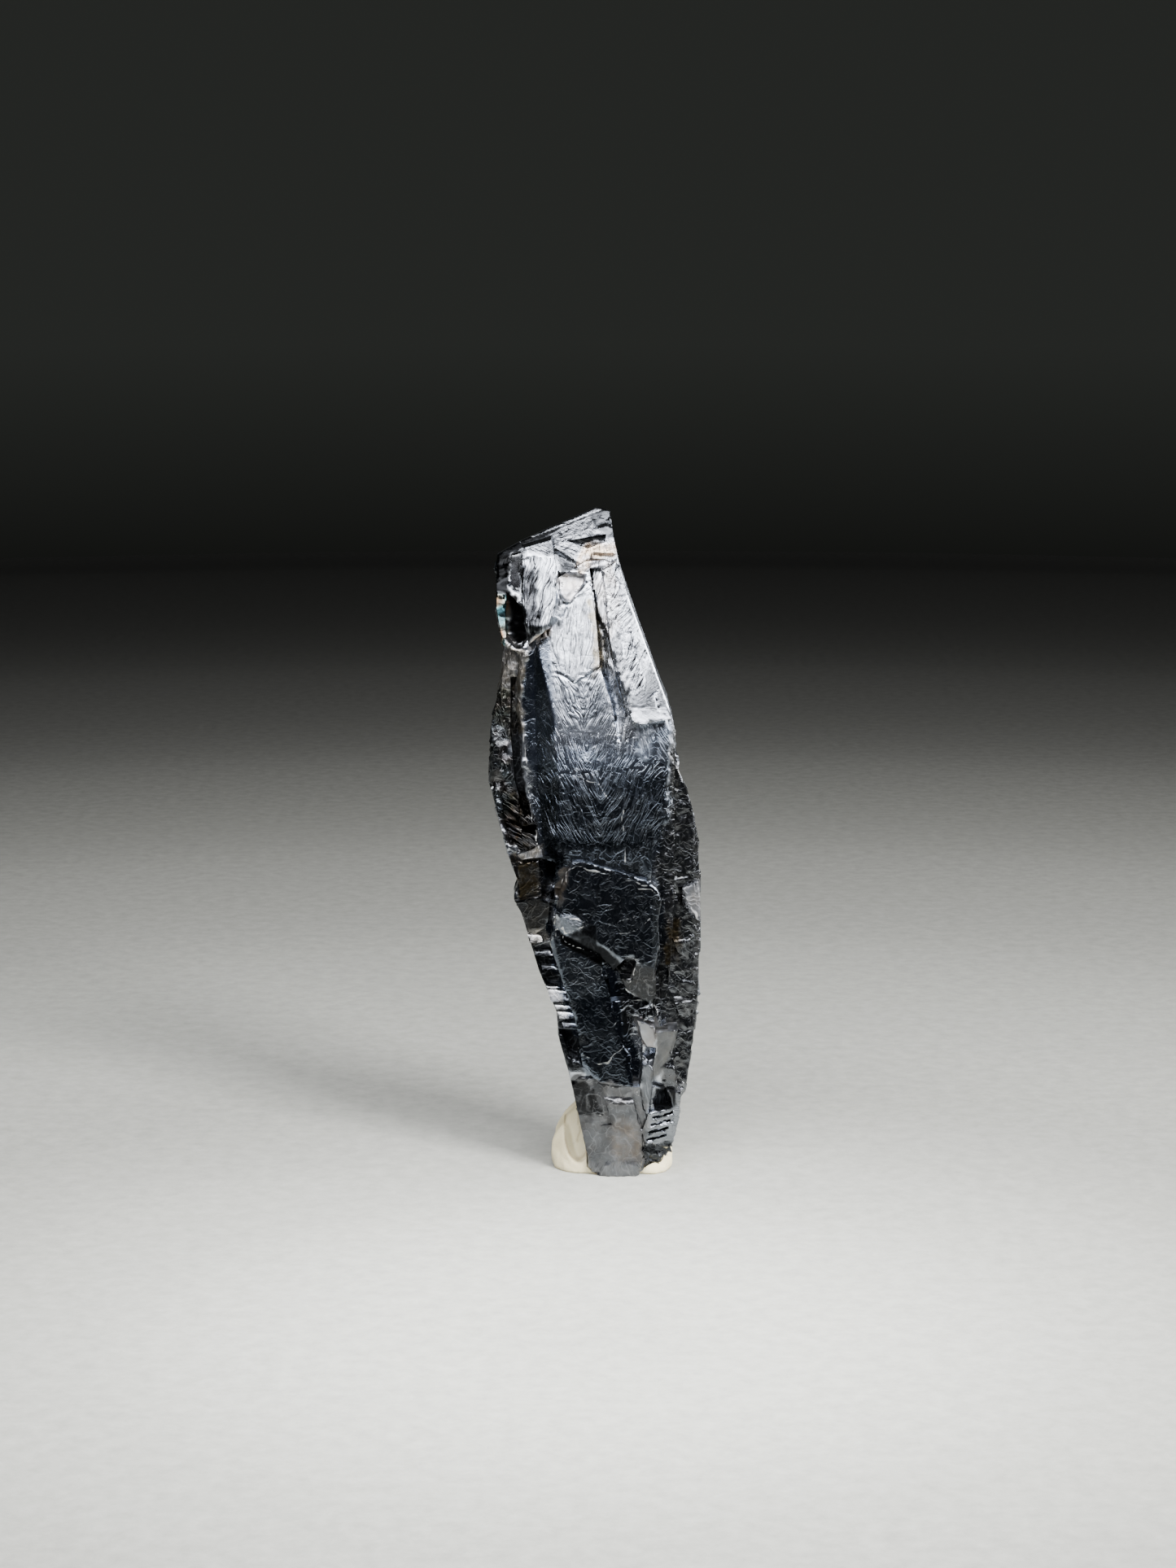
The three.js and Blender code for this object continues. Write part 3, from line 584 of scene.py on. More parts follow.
zone([(-0.4, 45.4), (0.1, 45.8), (1.2, 45.7), (1.9, 43.0), (1.8, 41.0), (1.0, 40.0), (0.3, 41.2),
      (-0.1, 43.4)], 28, soft=0.1, ragged=0.1, lean=-14, strand=(0.05, 0.6, 4.0), frost=0.34, dark=FAINT,
     brown=0.0, tan=0.25, feathered=-1.6, creased=0.0)
zone([(0.7, 45.8), (1.9, 45.8), (2.5, 44.1), (4.6, 39.0), (6.1, 34.3), (3.2, 34.9), (2.7, 36.3),
      (1.8, 40.5), (1.1, 42.6)], 36, soft=0.1, lean=-20, strand=(0.03, 0.5, 1.8), crease=(0.014, 0.7),
     swell=(0.04, 1.4), frost=0.38, feathered=-2.0, creased=-1.3, dark=BARE)
zone([(2.8, 35.3), (4.6, 38.9), (6.1, 34.3), (5.5, 34.1), (3.0, 33.9)], 37, apex=(2.6, 35.2),
     strand=(0.012, 0.5, 3.0), frost=0.38, feathered=-1.2, dark=DULL)

# %% The shield, its fan of feathers and its crumpled lower part
# Zones 31, 32 and 74 darken the shield's lower part and tint it blue, a painted reflection of the dark
# room, grading up into the bright fan.
zone([(-4.2, 28.0), (5.5, 28.0), (4.4, 24.5), (3.8, 22.2), (-1.5, 24.2), (-2.6, 22.1), (-3.7, 21.8)], 31,
     soft=0.8, crease=(0.003, 1.2), rough=(0.001, 0.5), frost=0.13, dark=NEAR_BLACK, creased=0.45,
     feathered=0.4, gritty=0.15, blue=1.0)
zone([(-2.8, 32.9), (2.1, 32.3), (5.8, 34.2), (5.8, 27.7), (4.6, 24.8), (-3.5, 25.2), (-4.6, 27.9),
      (-4.2, 30.0)], 32, soft=0.8, lean=24, spine=0.4, crease=(0.003, 0.9), strand=(0.005, 0.5, 2.0),
     frost=0.16, dark=DIM, creased=0.6, feathered=1.1, gritty=0.15, blue=0.8)
zone([(-4.3, 31.6), (-3.6, 35.6), (2.2, 35.6), (2.9, 34.0), (5.5, 34.0), (5.6, 31.6), (1.5, 30.2),
      (-3.0, 30.4)], 30, soft=1.8, lean=24, spine=-0.6, crease=(0.005, 0.9), strand=(0.012, 0.5, 2.2),
     frost=0.18, dark=FAINT, gritty=0.15, creased=0.4, feathered=1.5)
zone([(-3.3, 38.3), (-1.5, 36.9), (0.5, 38.1), (1.0, 36.0), (1.6, 33.6), (0.6, 33.2), (-2.4, 33.2),
      (-3.0, 34.6)], 33, soft=1.0, lean=20, spine=-0.85, strand=(0.02, 0.5, 2.8), crease=(0.004, 0.6),
     frost=0.2, feathered=-1.6, creased=-0.3, dark=FAINT, gritty=0.15, blue=0.3)
zone([(2.9, 34.0), (4.4, 34.0), (4.2, 31.0), (3.0, 31.5)], 38, strand=(0.03, 0.4, 1.4), frost=0.26,
     dark=LIGHT, feathered=1.4)
zone([(4.4, 33.9), (5.6, 33.9), (5.5, 31.0), (4.5, 31.2)], 39, lean=25, strand=(0.02, 0.4, 1.4),
     frost=0.24, dark=DULL, feathered=1.2)
zone([(5.5, 34.4), (6.5, 34.4), (6.4, 30.0), (6.1, 26.4), (5.1, 26.0), (5.4, 30.6)], 40, soft=0.08,
     ragged=0.15, block=(0.3, 0.6), rough=(0.02, 0.3), frost=0.42, cream=0.3, dark=DULL)
zone([(-2.7, 24.8), (4.6, 24.8), (3.9, 22.8), (-0.9, 24.0), (-2.0, 23.6)], 74, soft=0.4,
     crease=(0.006, 0.9), rough=(0.003, 0.4), frost=0.22, dark=DARK, creased=1.0, feathered=0.3,
     gritty=0.4, blue=0.8)

# %% Rear plate at the right, flank at the left
zone([(5.8, 32.7), (7.0, 31.2), (8.2, 26.3), (8.6, 21.5), (8.3, 11.9), (7.2, 5.0), (5.0, 6.4),
      (5.0, 10.7), (5.0, 20.9), (4.2, 23.3), (5.0, 26.3)], 41, rough=(0.02, 0.5), block=(0.08, 0.8),
     frost=0.2, dark=DIM, brown=0.3, gritty=0.5, creased=0.8)
zone([(5.0, 19.2), (6.3, 18.8), (6.4, 15.9), (5.1, 15.6)], 42, soft=0.4, rough=(0.05, 0.4), frost=0.3,
     dark=DARK, brown=0.9, gritty=1.0)
zone([(6.7, 21.2), (8.3, 21.9), (8.3, 18.5), (7.2, 19.4)], 43, soft=0.1, rough=(0.006, 0.5), frost=0.38,
     cream=0.3, dark=DUSKY, creased=0.9, brown=0.0)
zone([(-8.4, 36.0), (-6.3, 36.0), (-6.2, 30.6), (-5.5, 26.9), (-5.9, 23.9), (-7.2, 26.0), (-8.4, 31.2)], 44,
     rough=(0.03, 0.5), block=(0.2, 0.9), frost=0.24, rainbow=0.2, dark=DARK, gritty=1.0, creased=1.0)
# The near-black slit is painted shade.
zone([(-6.4, 34.2), (-5.5, 34.2), (-5.1, 29.4), (-4.7, 26.9), (-5.7, 26.9), (-6.4, 30.6)], 45, frost=0.4,
     dark=NEAR_BLACK)
zone([(-6.9, 29.1), (-5.0, 27.9), (-4.4, 26.3), (-4.0, 24.2), (-5.8, 24.1), (-7.0, 26.9)], 46, lean=60,
     strand=(0.03, 0.5, 1.6), frost=0.26, brown=0.7, dark=BLACK, feathered=1.0, creased=0.2)
zone([(-6.3, 24.0), (-4.9, 24.3), (-3.8, 24.9), (-3.7, 23.7), (-5.5, 23.6)], 47, soft=0.06, ragged=0.06,
     rough=(0.02, 0.4), frost=0.4, cream=0.6, dark=DEEP, brown=0.0)
zone([(-6.4, 23.8), (-3.8, 23.7), (-3.5, 20.9), (-5.7, 20.7)], 48, crease=(0.006, 1.0), frost=0.22,
     brown=0.85, dark=DUSKY, creased=0.6)
zone([(-6.4, 20.7), (-4.1, 21.3), (-2.9, 21.0), (-3.4, 17.9), (-4.9, 17.2)], 49, crease=(0.006, 1.0),
     frost=0.2, brown=0.45, dark=DEEP, creased=0.7)

# %% Raised plate, blade and ladder
# Zones 51, 55 and 56, the raised plate, the blade and the patch across them, are darkened and tinted blue,
# a painted reflection of the dark room.
zone([(-2.4, 22.1), (-1.8, 23.7), (-0.9, 23.9), (3.9, 22.5), (5.2, 21.3), (5.3, 17.9), (4.7, 15.5),
      (3.3, 16.4), (2.4, 16.8), (1.3, 15.5), (0.5, 16.8), (-1.1, 17.4), (-2.4, 18.4), (-3.0, 20.3)], 51,
     soft=0.1, crease=(0.005, 1.3), rough=(0.002, 0.5), frost=0.15, dark=DIM, creased=0.6, gritty=0.2,
     blue=0.5)
zone([(-3.2, 19.1), (-2.5, 20.0), (-1.7, 20.0), (-0.5, 19.4), (-1.7, 18.7), (-2.4, 18.3)], 52, soft=0.1,
     lean=70, strand=(0.045, 0.4, 1.5), rough=(0.01, 0.3), frost=0.36, dark=DIM, feathered=1.0,
     creased=0.9)
zone([(-2.3, 18.3), (-1.1, 19.1), (0.1, 19.3), (0.2, 17.0), (-1.1, 17.4)], 53, soft=0.1,
     rough=(0.006, 0.6), frost=0.33, dark=BLACK, creased=0.1, blue=0.3)
zone([(-5.4, 18.6), (-3.8, 18.6), (-2.2, 14.0), (-0.6, 10.7), (-1.4, 8.1), (-2.8, 8.6), (-3.9, 13.1)], 54,
     rough=(0.012, 0.4), frost=0.26, cream=0.25, dark=MIDDLE, blue=0.0)
zone([(-5.2, 17.4), (-3.2, 17.4), (-2.2, 14.4), (-4.4, 14.4)], 58, rough=(0.012, 0.4), frost=0.22,
     cream=0.0, dark=NEAR_BLACK)
zone([(-2.8, 11.9), (-1.3, 11.9), (-0.8, 8.0), (-2.6, 8.2)], 59, rough=(0.012, 0.4), frost=0.22,
     cream=0.0, dark=DEEP)
zone([(-3.5, 19.2), (0.3, 17.3), (1.5, 15.5), (2.1, 11.9), (3.6, 8.3), (3.0, 7.0), (-0.6, 7.0),
      (-1.6, 11.1), (-3.2, 16.1)], 55, soft=0.1, swell=(0.02, 3.0), frost=0.10, gritty=0.3, creased=0.3,
     dark=DIM, blue=0.9)
zone([(-3.3, 19.2), (-1.8, 17.9), (0.3, 17.0), (1.2, 15.5), (0.9, 14.3), (-2.4, 14.0)], 56, soft=0.6,
     crease=(0.008, 1.2), rough=(0.004, 0.5), frost=0.14, creased=0.5, gritty=0.6, dark=DUSKY, blue=0.6)
zone([(1.7, 16.2), (5.0, 16.4), (5.1, 13.1), (4.2, 13.2), (2.9, 13.9), (1.9, 14.4)], 57, soft=0.1,
     rough=(0.012, 0.5), crease=(0.01, 0.8), frost=0.28, brown=0.35, dark=DEEP, gritty=0.5, creased=1.0)
# A black band under the raised plate's lower rim is painted shade.
zone([(-2.6, 18.5), (-0.9, 18.1), (0.5, 17.7), (1.3, 17.1), (2.3, 16.1), (1.6, 15.1), (0.4, 16.2),
      (-1.0, 17.0), (-2.4, 17.7)], 60, soft=0.06, ragged=0.08, rough=(0.006, 0.5), frost=0.2, dark=BLACK,
     creased=0.1, feathered=0.0, gritty=0.4, blue=0.0)
zone([(-3.0, 21.8), (-2.5, 23.1), (-1.8, 23.6), (-2.2, 21.8), (-2.6, 20.2)], 75, soft=0.1,
     rough=(0.006, 0.5), frost=0.3, dark=DIM, tan=0.7, blue=0.0, creased=0.4)
zone([(1.6, 14.4), (2.9, 13.9), (4.3, 13.2), (5.0, 13.1), (5.0, 12.1), (3.0, 12.1), (2.9, 10.6),
      (2.3, 9.9), (1.8, 12.0)], 72, soft=0.1, rough=(0.004, 0.5), frost=0.2, dark=DEEP, creased=1.2,
     feathered=0.0, gritty=0.4)

# %% Broken faces, foot and layered fan
zone([(3.0, 12.1), (4.7, 12.1), (4.6, 9.6), (3.6, 9.8), (3.1, 10.7)], 61, soft=0.08, rough=(0.01, 0.8),
     frost=0.33, tan=0.35, dark=DULL, brown=0.0, creased=0.2, blue=0.0)
zone([(4.6, 11.3), (6.3, 11.3), (5.9, 9.6), (4.7, 7.5), (4.1, 7.7), (4.6, 9.5)], 62, soft=0.08,
     rough=(0.01, 0.8), frost=0.33, dark=DIM, brown=0.1, cream=0.2, creased=0.3)
zone([(-1.9, 7.7), (0.7, 7.7), (3.0, 7.4), (3.9, 6.1), (3.9, -0.3), (-1.7, -0.3), (-1.8, 4.6)], 63,
     soft=0.1, crease=(0.02, 0.9), rough=(0.006, 0.5), swell=(0.05, 0.9), frost=0.3, dark=DIM, gritty=1.2,
     creased=1.0, tan=0.18, blue=0.0)
zone([(1.5, 4.2), (2.7, 4.6), (3.5, 3.7), (3.5, 1.3), (1.8, 1.1), (1.2, 2.8)], 64, soft=0.6,
     rough=(0.02, 0.4), swell=(0.04, 0.7), tan=0.5, frost=0.42, dark=DUSKY, gritty=1.2, creased=1.0)
zone([(-1.8, 1.5), (0.0, 1.1), (2.4, 1.1), (4.0, 1.6), (4.0, -0.3), (-1.8, -0.3)], 73, soft=0.25,
     apex=(1.1, 5.2), strand=(0.13, 0.5, 1.8), rough=(0.01, 0.4), frost=0.34, dark=DUSKY, feathered=1.3,
     gritty=0.8, creased=0.4)
zone([(-2.0, 7.3), (-0.5, 7.2), (-0.4, 4.9), (-1.8, 4.8)], 65, soft=0.1, rough=(0.006, 0.5), frost=0.2,
     dark=NEAR_BLACK, creased=0.3)
# The near-black patch on the foot is painted shade.
zone([(-0.5, 6.8), (0.7, 6.4), (0.7, 4.8), (-0.5, 4.8)], 66, soft=0.1, lean=40, strand=(0.03, 0.4, 1.5),
     frost=0.26, dark=NEAR_BLACK)
zone([(-0.4, 7.7), (0.6, 7.3), (1.7, 3.8), (1.1, 3.8), (0.2, 6.1)], 67, soft=0.08, rough=(0.01, 0.4),
     frost=0.36, dark=DARK)
zone([(3.4, 8.9), (4.6, 9.1), (4.4, 2.8), (3.5, 1.6)], 68, lean=5, strand=(0.04, 0.4, 2.0), frost=0.3,
     dark=DIM, feathered=1.0, blue=0.0)
zone([(4.0, 5.7), (6.8, 6.8), (6.8, 3.4), (6.4, 2.3), (3.9, 2.4)], 69, lean=82, strand=(0.07, 0.5, 2.2),
     frost=0.2, dark=DULL, feathered=1.0)
# The near-black cavity is painted shade.
zone([(4.5, 6.9), (6.1, 6.9), (6.1, 5.5), (4.6, 5.2)], 70, soft=0.08, dark=NEAR_BLACK, frost=0.4)
zone([(3.5, 2.5), (6.2, 2.6), (5.9, 0.6), (3.7, 0.3)], 71, block=(0.6, 0.7), rough=(0.03, 0.3),
     frost=0.26, dark=DEEP)

# %% [markdown]
# ## Crystal: bright lines
# Thin bright lines run where one layer ends on another: along the rims of the raised plate, round the
# broken faces and across the blade. They are broken cleavage edges a tenth of a millimetre wide. Each
# one is a raised ridge on the skin, and each dark crack a groove. The skin also keeps how near every
# place is to a line and to a crack, so that the material can draw both finer than the skin is: a painted
# highlight along each line and painted shade in each crack.

# %% Bright lines
BRIGHT_LINES = (  # (x, z) in mm, seen from the front
    ((-1.8, 30.3), (-0.5, 29.7), (0.3, 29.4), (0.9, 28.5), (1.8, 27.7)),
    ((2.0, 27.6), (2.2, 25.7), (2.3, 23.9)),
    ((-2.4, 22.1), (-2.0, 23.2), (-1.5, 23.6), (-0.9, 23.5), (1.8, 22.7), (3.9, 22.1)),
    ((3.2, 21.9), (4.2, 21.8), (4.7, 21.3), (5.0, 20.9), (5.2, 20.3), (5.0, 19.1), (4.9, 17.3),
     (4.6, 15.8)),
    ((0.3, 19.2), (2.4, 19.7), (4.2, 20.4)),
    ((1.8, 18.5), (3.3, 19.0), (4.2, 19.7)),
    ((-2.4, 18.4), (-1.8, 17.7), (-0.7, 17.4), (0.0, 17.2), (0.6, 16.6), (1.1, 15.6)),
    ((1.3, 15.5), (1.8, 16.0), (2.7, 16.7), (3.3, 16.6)),
    ((-2.5, 19.9), (-1.5, 19.8), (-0.5, 19.3)),
    ((-3.0, 18.1), (-2.9, 18.8), (-2.4, 19.1), (-2.2, 18.5), (-1.1, 19.1), (0.0, 19.3)),
    ((-2.8, 20.9), (-3.0, 19.4), (-3.3, 17.3), (-2.5, 14.9), (-1.8, 12.5), (-1.1, 11.0)),
    ((0.2, 8.9), (1.0, 9.0), (1.6, 9.9), (2.2, 10.3)),
    ((6.8, 20.6), (7.2, 19.8), (7.7, 19.0), (8.1, 18.3)),
    ((-1.2, 10.5), (-0.6, 10.7), (-0.2, 10.4)),
    ((-1.2, 9.5), (-0.7, 9.7), (-0.4, 9.5)),
    ((3.0, 16.0), (2.8, 15.4), (2.5, 14.8)),
    ((2.0, 14.5), (2.7, 14.0), (4.2, 13.2), (4.6, 12.5), (5.0, 11.4)),
    ((4.2, 13.2), (2.8, 13.3), (1.9, 12.5), (1.5, 11.8)),
    ((-0.9, 4.8), (-0.1, 4.9), (0.5, 4.8)),
    ((-1.95, 7.6), (-1.45, 5.0), (-1.0, 3.0), (-0.75, 1.6)),
    ((0.6, 7.4), (1.8, 7.0), (3.0, 6.9), (3.3, 6.2)),
    ((-5.7, 21.3), (-4.7, 21.8), (-4.0, 22.1)),
    ((-5.5, 34.2), (-5.2, 31.2), (-4.9, 27.9), (-4.2, 24.5)),
    ((-4.9, 39.2), (-4.4, 39.9), (-3.9, 40.1), (-3.5, 40.5)),
    ((3.0, 34.1), (4.2, 34.3), (5.6, 34.4)),
    ((5.6, 26.9), (5.0, 26.2), (4.9, 25.6), (4.5, 25.0)),
)
DARK_CRACKS = (
    ((-5.1, 46.8), (-5.5, 43.1), (-5.5, 42.5), (-4.7, 40.6), (-4.3, 40.4), (-3.5, 40.6), (-2.6, 42.3),
     (-0.6, 44.0)),
    ((-5.2, 46.9), (-5.8, 43.0)),
    ((-6.0, 46.5), (-6.4, 43.3)),
    ((-3.2, 46.3), (-2.6, 45.4), (-1.3, 44.8), (-0.6, 44.6), (-0.3, 45.1), (0.8, 45.6)),
    ((-2.6, 44.6), (-2.6, 43.1), (-2.2, 42.4)),
    ((-0.1, 43.3), (0.2, 41.2), (0.3, 37.8)),
    ((-3.4, 39.9), (-2.9, 37.5), (-1.6, 36.9), (-1.1, 37.3), (0.1, 37.8), (0.6, 37.4), (1.5, 34.1)),
    ((-0.5, 44.9), (-0.3, 43.8), (0.5, 41.2), (0.8, 38.9)),
    ((0.3, 45.4), (0.7, 43.3), (1.5, 41.2), (2.1, 38.9)),
    ((0.6, 43.3), (1.5, 43.1), (2.3, 43.3)),
    ((2.9, 35.1), (4.1, 35.4), (5.5, 34.3)),
    ((-2.0, 47.1), (0.8, 47.3), (0.6, 46.9), (-1.3, 46.7), (-2.0, 47.1)),
    ((-7.2, 46.0), (-3.5, 47.5), (0.2, 49.2)),
    ((2.9, 38.9), (3.7, 38.0), (3.7, 36.1)),
    ((-2.1, 38.9), (-1.7, 41.2), (-1.3, 43.0)),
)
LINE_REACH = 1.0
LINE_WIDTH = 0.08
LINE_HEIGHT = 0.014
CRACK_DEPTH = 0.05
CRACK_WIDTH = 1.6 * LINE_WIDTH
LINE_WANDER = 0.22


def distance_to(line, spots):
    """The distance of each spot (x, z) from a line of straight pieces."""
    nearest = np.full(len(spots), LINE_REACH)
    for start, end in zip(line[:-1], line[1:]):
        start, end = np.array(start), np.array(end)
        piece = end - start
        share = np.clip((spots - start) @ piece / (piece @ piece), 0, 1)[:, None]
        nearest = np.minimum(nearest, np.linalg.norm(spots - start - share * piece, axis=1))
    return nearest


def distance_to_any(lines):
    distance = np.full(len(skin), LINE_REACH)
    for line in lines:
        distance[faces_front] = np.minimum(distance[faces_front], distance_to(line, wavering))
    return distance


wander = np.column_stack([cloud(skin[faces_front], 0.8, seed) for seed in (51, 52)])
wavering = skin[faces_front][:, [0, 2]] + LINE_WANDER * wander
line_distance = distance_to_any(BRIGHT_LINES)
crack_distance = distance_to_any(DARK_CRACKS)
broken_up = np.clip(0.5 + 1.8 * cloud(skin, 1.1, 53), 0, 1)
relief += LINE_HEIGHT * broken_up * np.clip(1 - line_distance / LINE_WIDTH, 0, 1)
relief -= CRACK_DEPTH * np.clip(1 - crack_distance / CRACK_WIDTH, 0, 1)
finish["line"] = 1 - line_distance / LINE_REACH
finish["crack"] = 1 - crack_distance / LINE_REACH
print(len(BRIGHT_LINES), "bright lines on", int((line_distance < LINE_WIDTH).sum()), "places of the skin")

# %% Where two ways of flowing meet, no strand is drawn
SEAM_BEND = 3.5  # mm of change in the flow for each mm along the skin
ends = np.array([edge.vertices[:] for edge in crystal.data.edges])
change = np.linalg.norm(flow[ends[:, 0]] - flow[ends[:, 1]], axis=1)
change /= np.linalg.norm(skin[ends[:, 0]] - skin[ends[:, 1]], axis=1) + 1e-6
seam = np.unique(ends[change > SEAM_BEND])
finish["feathered"][seam] = 0
print(len(seam), "places of the skin lie on a seam of the flow")

# %% [markdown]
# ## Crystal: press the relief in
# The shield's faces meet the shield's middle in one soft bend on the real crystal, so its hard breaks
# are eased first. Then the relief moves each point along its normal. Along sharp edges it is turned
# inwards, because an edge of soft galena is bruised and chipped, never built up.

# %% Ease the bend of the shield, then move the skin
SHIELD_FACES = (  # a place (x, y, z) on each face in mm, its tilt back and its turn to the right in degrees
    ((0.35, -1.37, 35.1), 20, -3), ((-1.85, -2.17, 31.3), 12, -2), ((0.25, -2.87, 28.1), 5, -2))
BEND_EASE = 0.26
BEND_REACH = ((23.5, 26.0), (40.0, 42.5))


def bend_shift(places):
    """How far the eased bend lies behind the shield's flat faces at each place."""
    depths = []
    for (x, y, z), tilt, turn in SHIELD_FACES:
        back = math.tan(math.radians(tilt)) * (places[:, 2] - z)
        aside = math.tan(math.radians(turn)) * (places[:, 0] - x)
        depths.append(y + back + aside)
    hard = np.max(depths, axis=0)
    eased = BEND_EASE * np.log(np.sum([np.exp((d - hard) / BEND_EASE) for d in depths], axis=0))
    (low, low_end), (high, high_end) = BEND_REACH
    height = places[:, 2]
    fade_in = np.clip((height - low) / (low_end - low), 0, 1)
    fade_out = np.clip((high_end - height) / (high_end - high), 0, 1)
    return eased * (fade_in * fade_out)


CHIP_FROM = 0.5  # radians that an edge turns by: none is chipped below this, all are at twice as much
edge_chip = np.zeros(len(skin))
corner_work = bmesh.new()
corner_work.from_mesh(crystal.data)
for edge in corner_work.edges:
    if len(edge.link_faces) == 2:
        angle = edge.calc_face_angle_signed(0)
        for vertex in edge.verts:
            edge_chip[vertex.index] = max(edge_chip[vertex.index], angle)
corner_work.free()
edge_chip = np.clip((edge_chip - CHIP_FROM) / CHIP_FROM, 0, 1)

# %% [markdown]
# The solid's groove and trough under the crown are deeper than a real one's, so their floors are
# brought forward here. The floor of the pit between them is leaned, so that it mirrors the glow.

# %% Fill two hollows and lean the pit's floor
def fill_hollow(outline, share):
    """Brings the floor of a hollow forward, towards the plane through the skin round it."""
    spots = skin[:, [0, 2]]
    closed = outline + outline[:1]
    mask = np.zeros(len(skin))
    mask[faces_front] = inside(outline, skin[faces_front], 0.12, 0.0)
    ring = np.zeros(len(skin), bool)
    ring[faces_front] = distance_to(closed, spots[faces_front]) < 0.45
    ring &= (mask < 0.02) & (normals[:, 1] < -0.5)
    level = np.column_stack([np.ones(len(skin)), spots])
    plane = level @ np.linalg.lstsq(level[ring], skin[ring, 1], rcond=None)[0]
    shift = share * mask * np.minimum(plane - skin[:, 1], 0)
    print("hollow at", outline[0], "filled by up to", round(float(-shift.min()), 2), "mm")
    return shift


GROOVE_TOP = [(-0.3, 46.0), (1.4, 45.9), (2.3, 43.2), (2.0, 41.2), (1.0, 40.2), (0.2, 41.6), (-0.2, 43.6)]
TROUGH = [(-3.5, 46.5), (-2.2, 45.8), (-0.9, 45.2), (-1.2, 44.5), (-2.5, 44.5), (-3.3, 45.1)]
PIT = [(-2.6, 44.7), (-0.7, 44.5), (-0.8, 44.0), (-1.8, 42.6), (-2.3, 42.7), (-2.9, 44.3)]
PIT_LEAN = 0.22
PIT_MIDDLE_Z = 43.2
filled = fill_hollow(GROOVE_TOP, 0.85)
filled += PIT_LEAN * (skin[:, 2] - PIT_MIDDLE_Z) * inside(PIT, skin, 0.1, 0.0) * faces_front
filled += fill_hollow(TROUGH, 0.7)

# %% [markdown]
# A flat bevel runs down the right edge of the upper half and mirrors the bright spot at the right rear.
# It stays smooth, so the relief is taken off it.

# %% The bright bevel down the right edge
BEVEL_FACING = np.array([0.794, -0.466, 0.389])
BEVEL_DEPTH_AT = 18.485  # mm from the origin to the bevel's plane, along the way it faces
BEVEL_HEIGHTS = (34.9, 46.3)
beyond_bevel = skin @ BEVEL_FACING - BEVEL_DEPTH_AT
BEVEL_REAR_Y = 2.0
BEVEL_LEFT_X = 1.2
on_bevel = (beyond_bevel > -0.01) & (beyond_bevel < 0.2)
on_bevel &= (skin[:, 2] > BEVEL_HEIGHTS[0]) & (skin[:, 2] < BEVEL_HEIGHTS[1])
on_bevel &= (skin[:, 1] < BEVEL_REAR_Y) & (skin[:, 0] > BEVEL_LEFT_X)
print("bevel:", int(on_bevel.sum()), "places, deepest", round(float(beyond_bevel[on_bevel].max()), 2), "mm")
relief[on_bevel] = 0
edge_chip[on_bevel] = 0
set_finish(on_bevel, frost=0.16, dark=BARE, feathered=0, creased=0, gritty=0.3, tan=0, brown=0)

# %% [markdown]
# The sloping top is darkened all over with painted shade. The relief is calmed next to it and on the side
# faces of the upper half, so that the outline there stays crisp.

# %% The dark top and the crisp edges round it
TOP_FROM = 44.5
TOP_PAINTED_SHADE = 0.95
FACING_UP = 0.82
UPPER_FROM = 34.0
CALM = 0.85  # how much of the relief goes where it is calmed most
TOP_LINE = ((-7.5, 45.7), (0.2, 49.3))  # x and z of the sloping top, seen from the front
on_top = (normals[:, 2] > FACING_UP) & (skin[:, 2] > TOP_FROM)
set_finish(on_top, frost=0.3, dark=TOP_PAINTED_SHADE, feathered=0, creased=0.1, gritty=0.2)
(left, low_top), (right, high_top) = TOP_LINE
below_top = low_top + (skin[:, 0] - left) * (high_top - low_top) / (right - left) - skin[:, 2]
upper = np.clip(skin[:, 2] - UPPER_FROM, 0, 1)
calm_top = np.clip(1.2 - below_top / 0.8, 0, 1)
calm_side = upper * np.clip((normals[:, 0] - 0.2) / 0.3, 0, 1)
relief *= 1 - CALM * np.maximum(calm_top, calm_side)

# %% Move the skin
chips = np.clip(cloud(skin, 1.3, 90) + 0.5 * cloud(skin, 0.5, 91), 0, 1)
height = relief * (1 - edge_chip) - edge_chip * (0.02 + 0.14 * chips * (1 - 0.8 * upper))
moved = skin + normals * height[:, None]
in_front = np.clip((-0.6 - behind_twin_plane(skin)) / 0.8, 0, 1)
moved[:, 1] += bend_shift(skin) * in_front + filled
moved -= np.where(on_bevel, np.maximum(beyond_bevel, 0), 0)[:, None] * BEVEL_FACING
low_corner, high_corner = (np.array(corner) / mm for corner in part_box("galena_crystal"))
moved = np.clip(moved, low_corner - 0.05, high_corner + 0.05)
move_to(crystal.data, moved)
for name, values in finish.items():
    keep_on(crystal.data, name, values)
kept = crystal.data.attributes.new("flow", "FLOAT_VECTOR", "POINT")
kept.data.foreach_set("vector", flow.astype(np.float32).ravel())
solo(crystal)
bpy.ops.object.shade_smooth_by_angle(angle=math.radians(38))
print("skin moved by up to", round(float(np.abs(moved - skin).max()), 3), "mm")

# %% [markdown]
# ## Galena
# Fresh galena is a lead-grey metal. Where it is frosted the roughness rises, and tarnish lays thin
# colours on it. One node group turns a value kept on the skin into a patchy mask, so that no finish
# ends in a clean line.

# %% Patchy mask, shared by every finish
def build_patchy_mask():
    group, given, mask = new_group("patchy_mask", ("Amount", "Place", "Scale"), "Mask")
    patches = noise_on(group, given["Place"], given["Scale"], 4.0, Roughness=0.65)
    spread = map_range(group, patches, 0.30, 0.70, -0.45, 0.45)
    strength = math_node(group, "MULTIPLY", given["Amount"], 1.6, clamp=True)
    edge = math_node(group, "MULTIPLY", spread, strength)
    group.links.new(math_node(group, "ADD", given["Amount"], edge, clamp=True), mask)
    return group


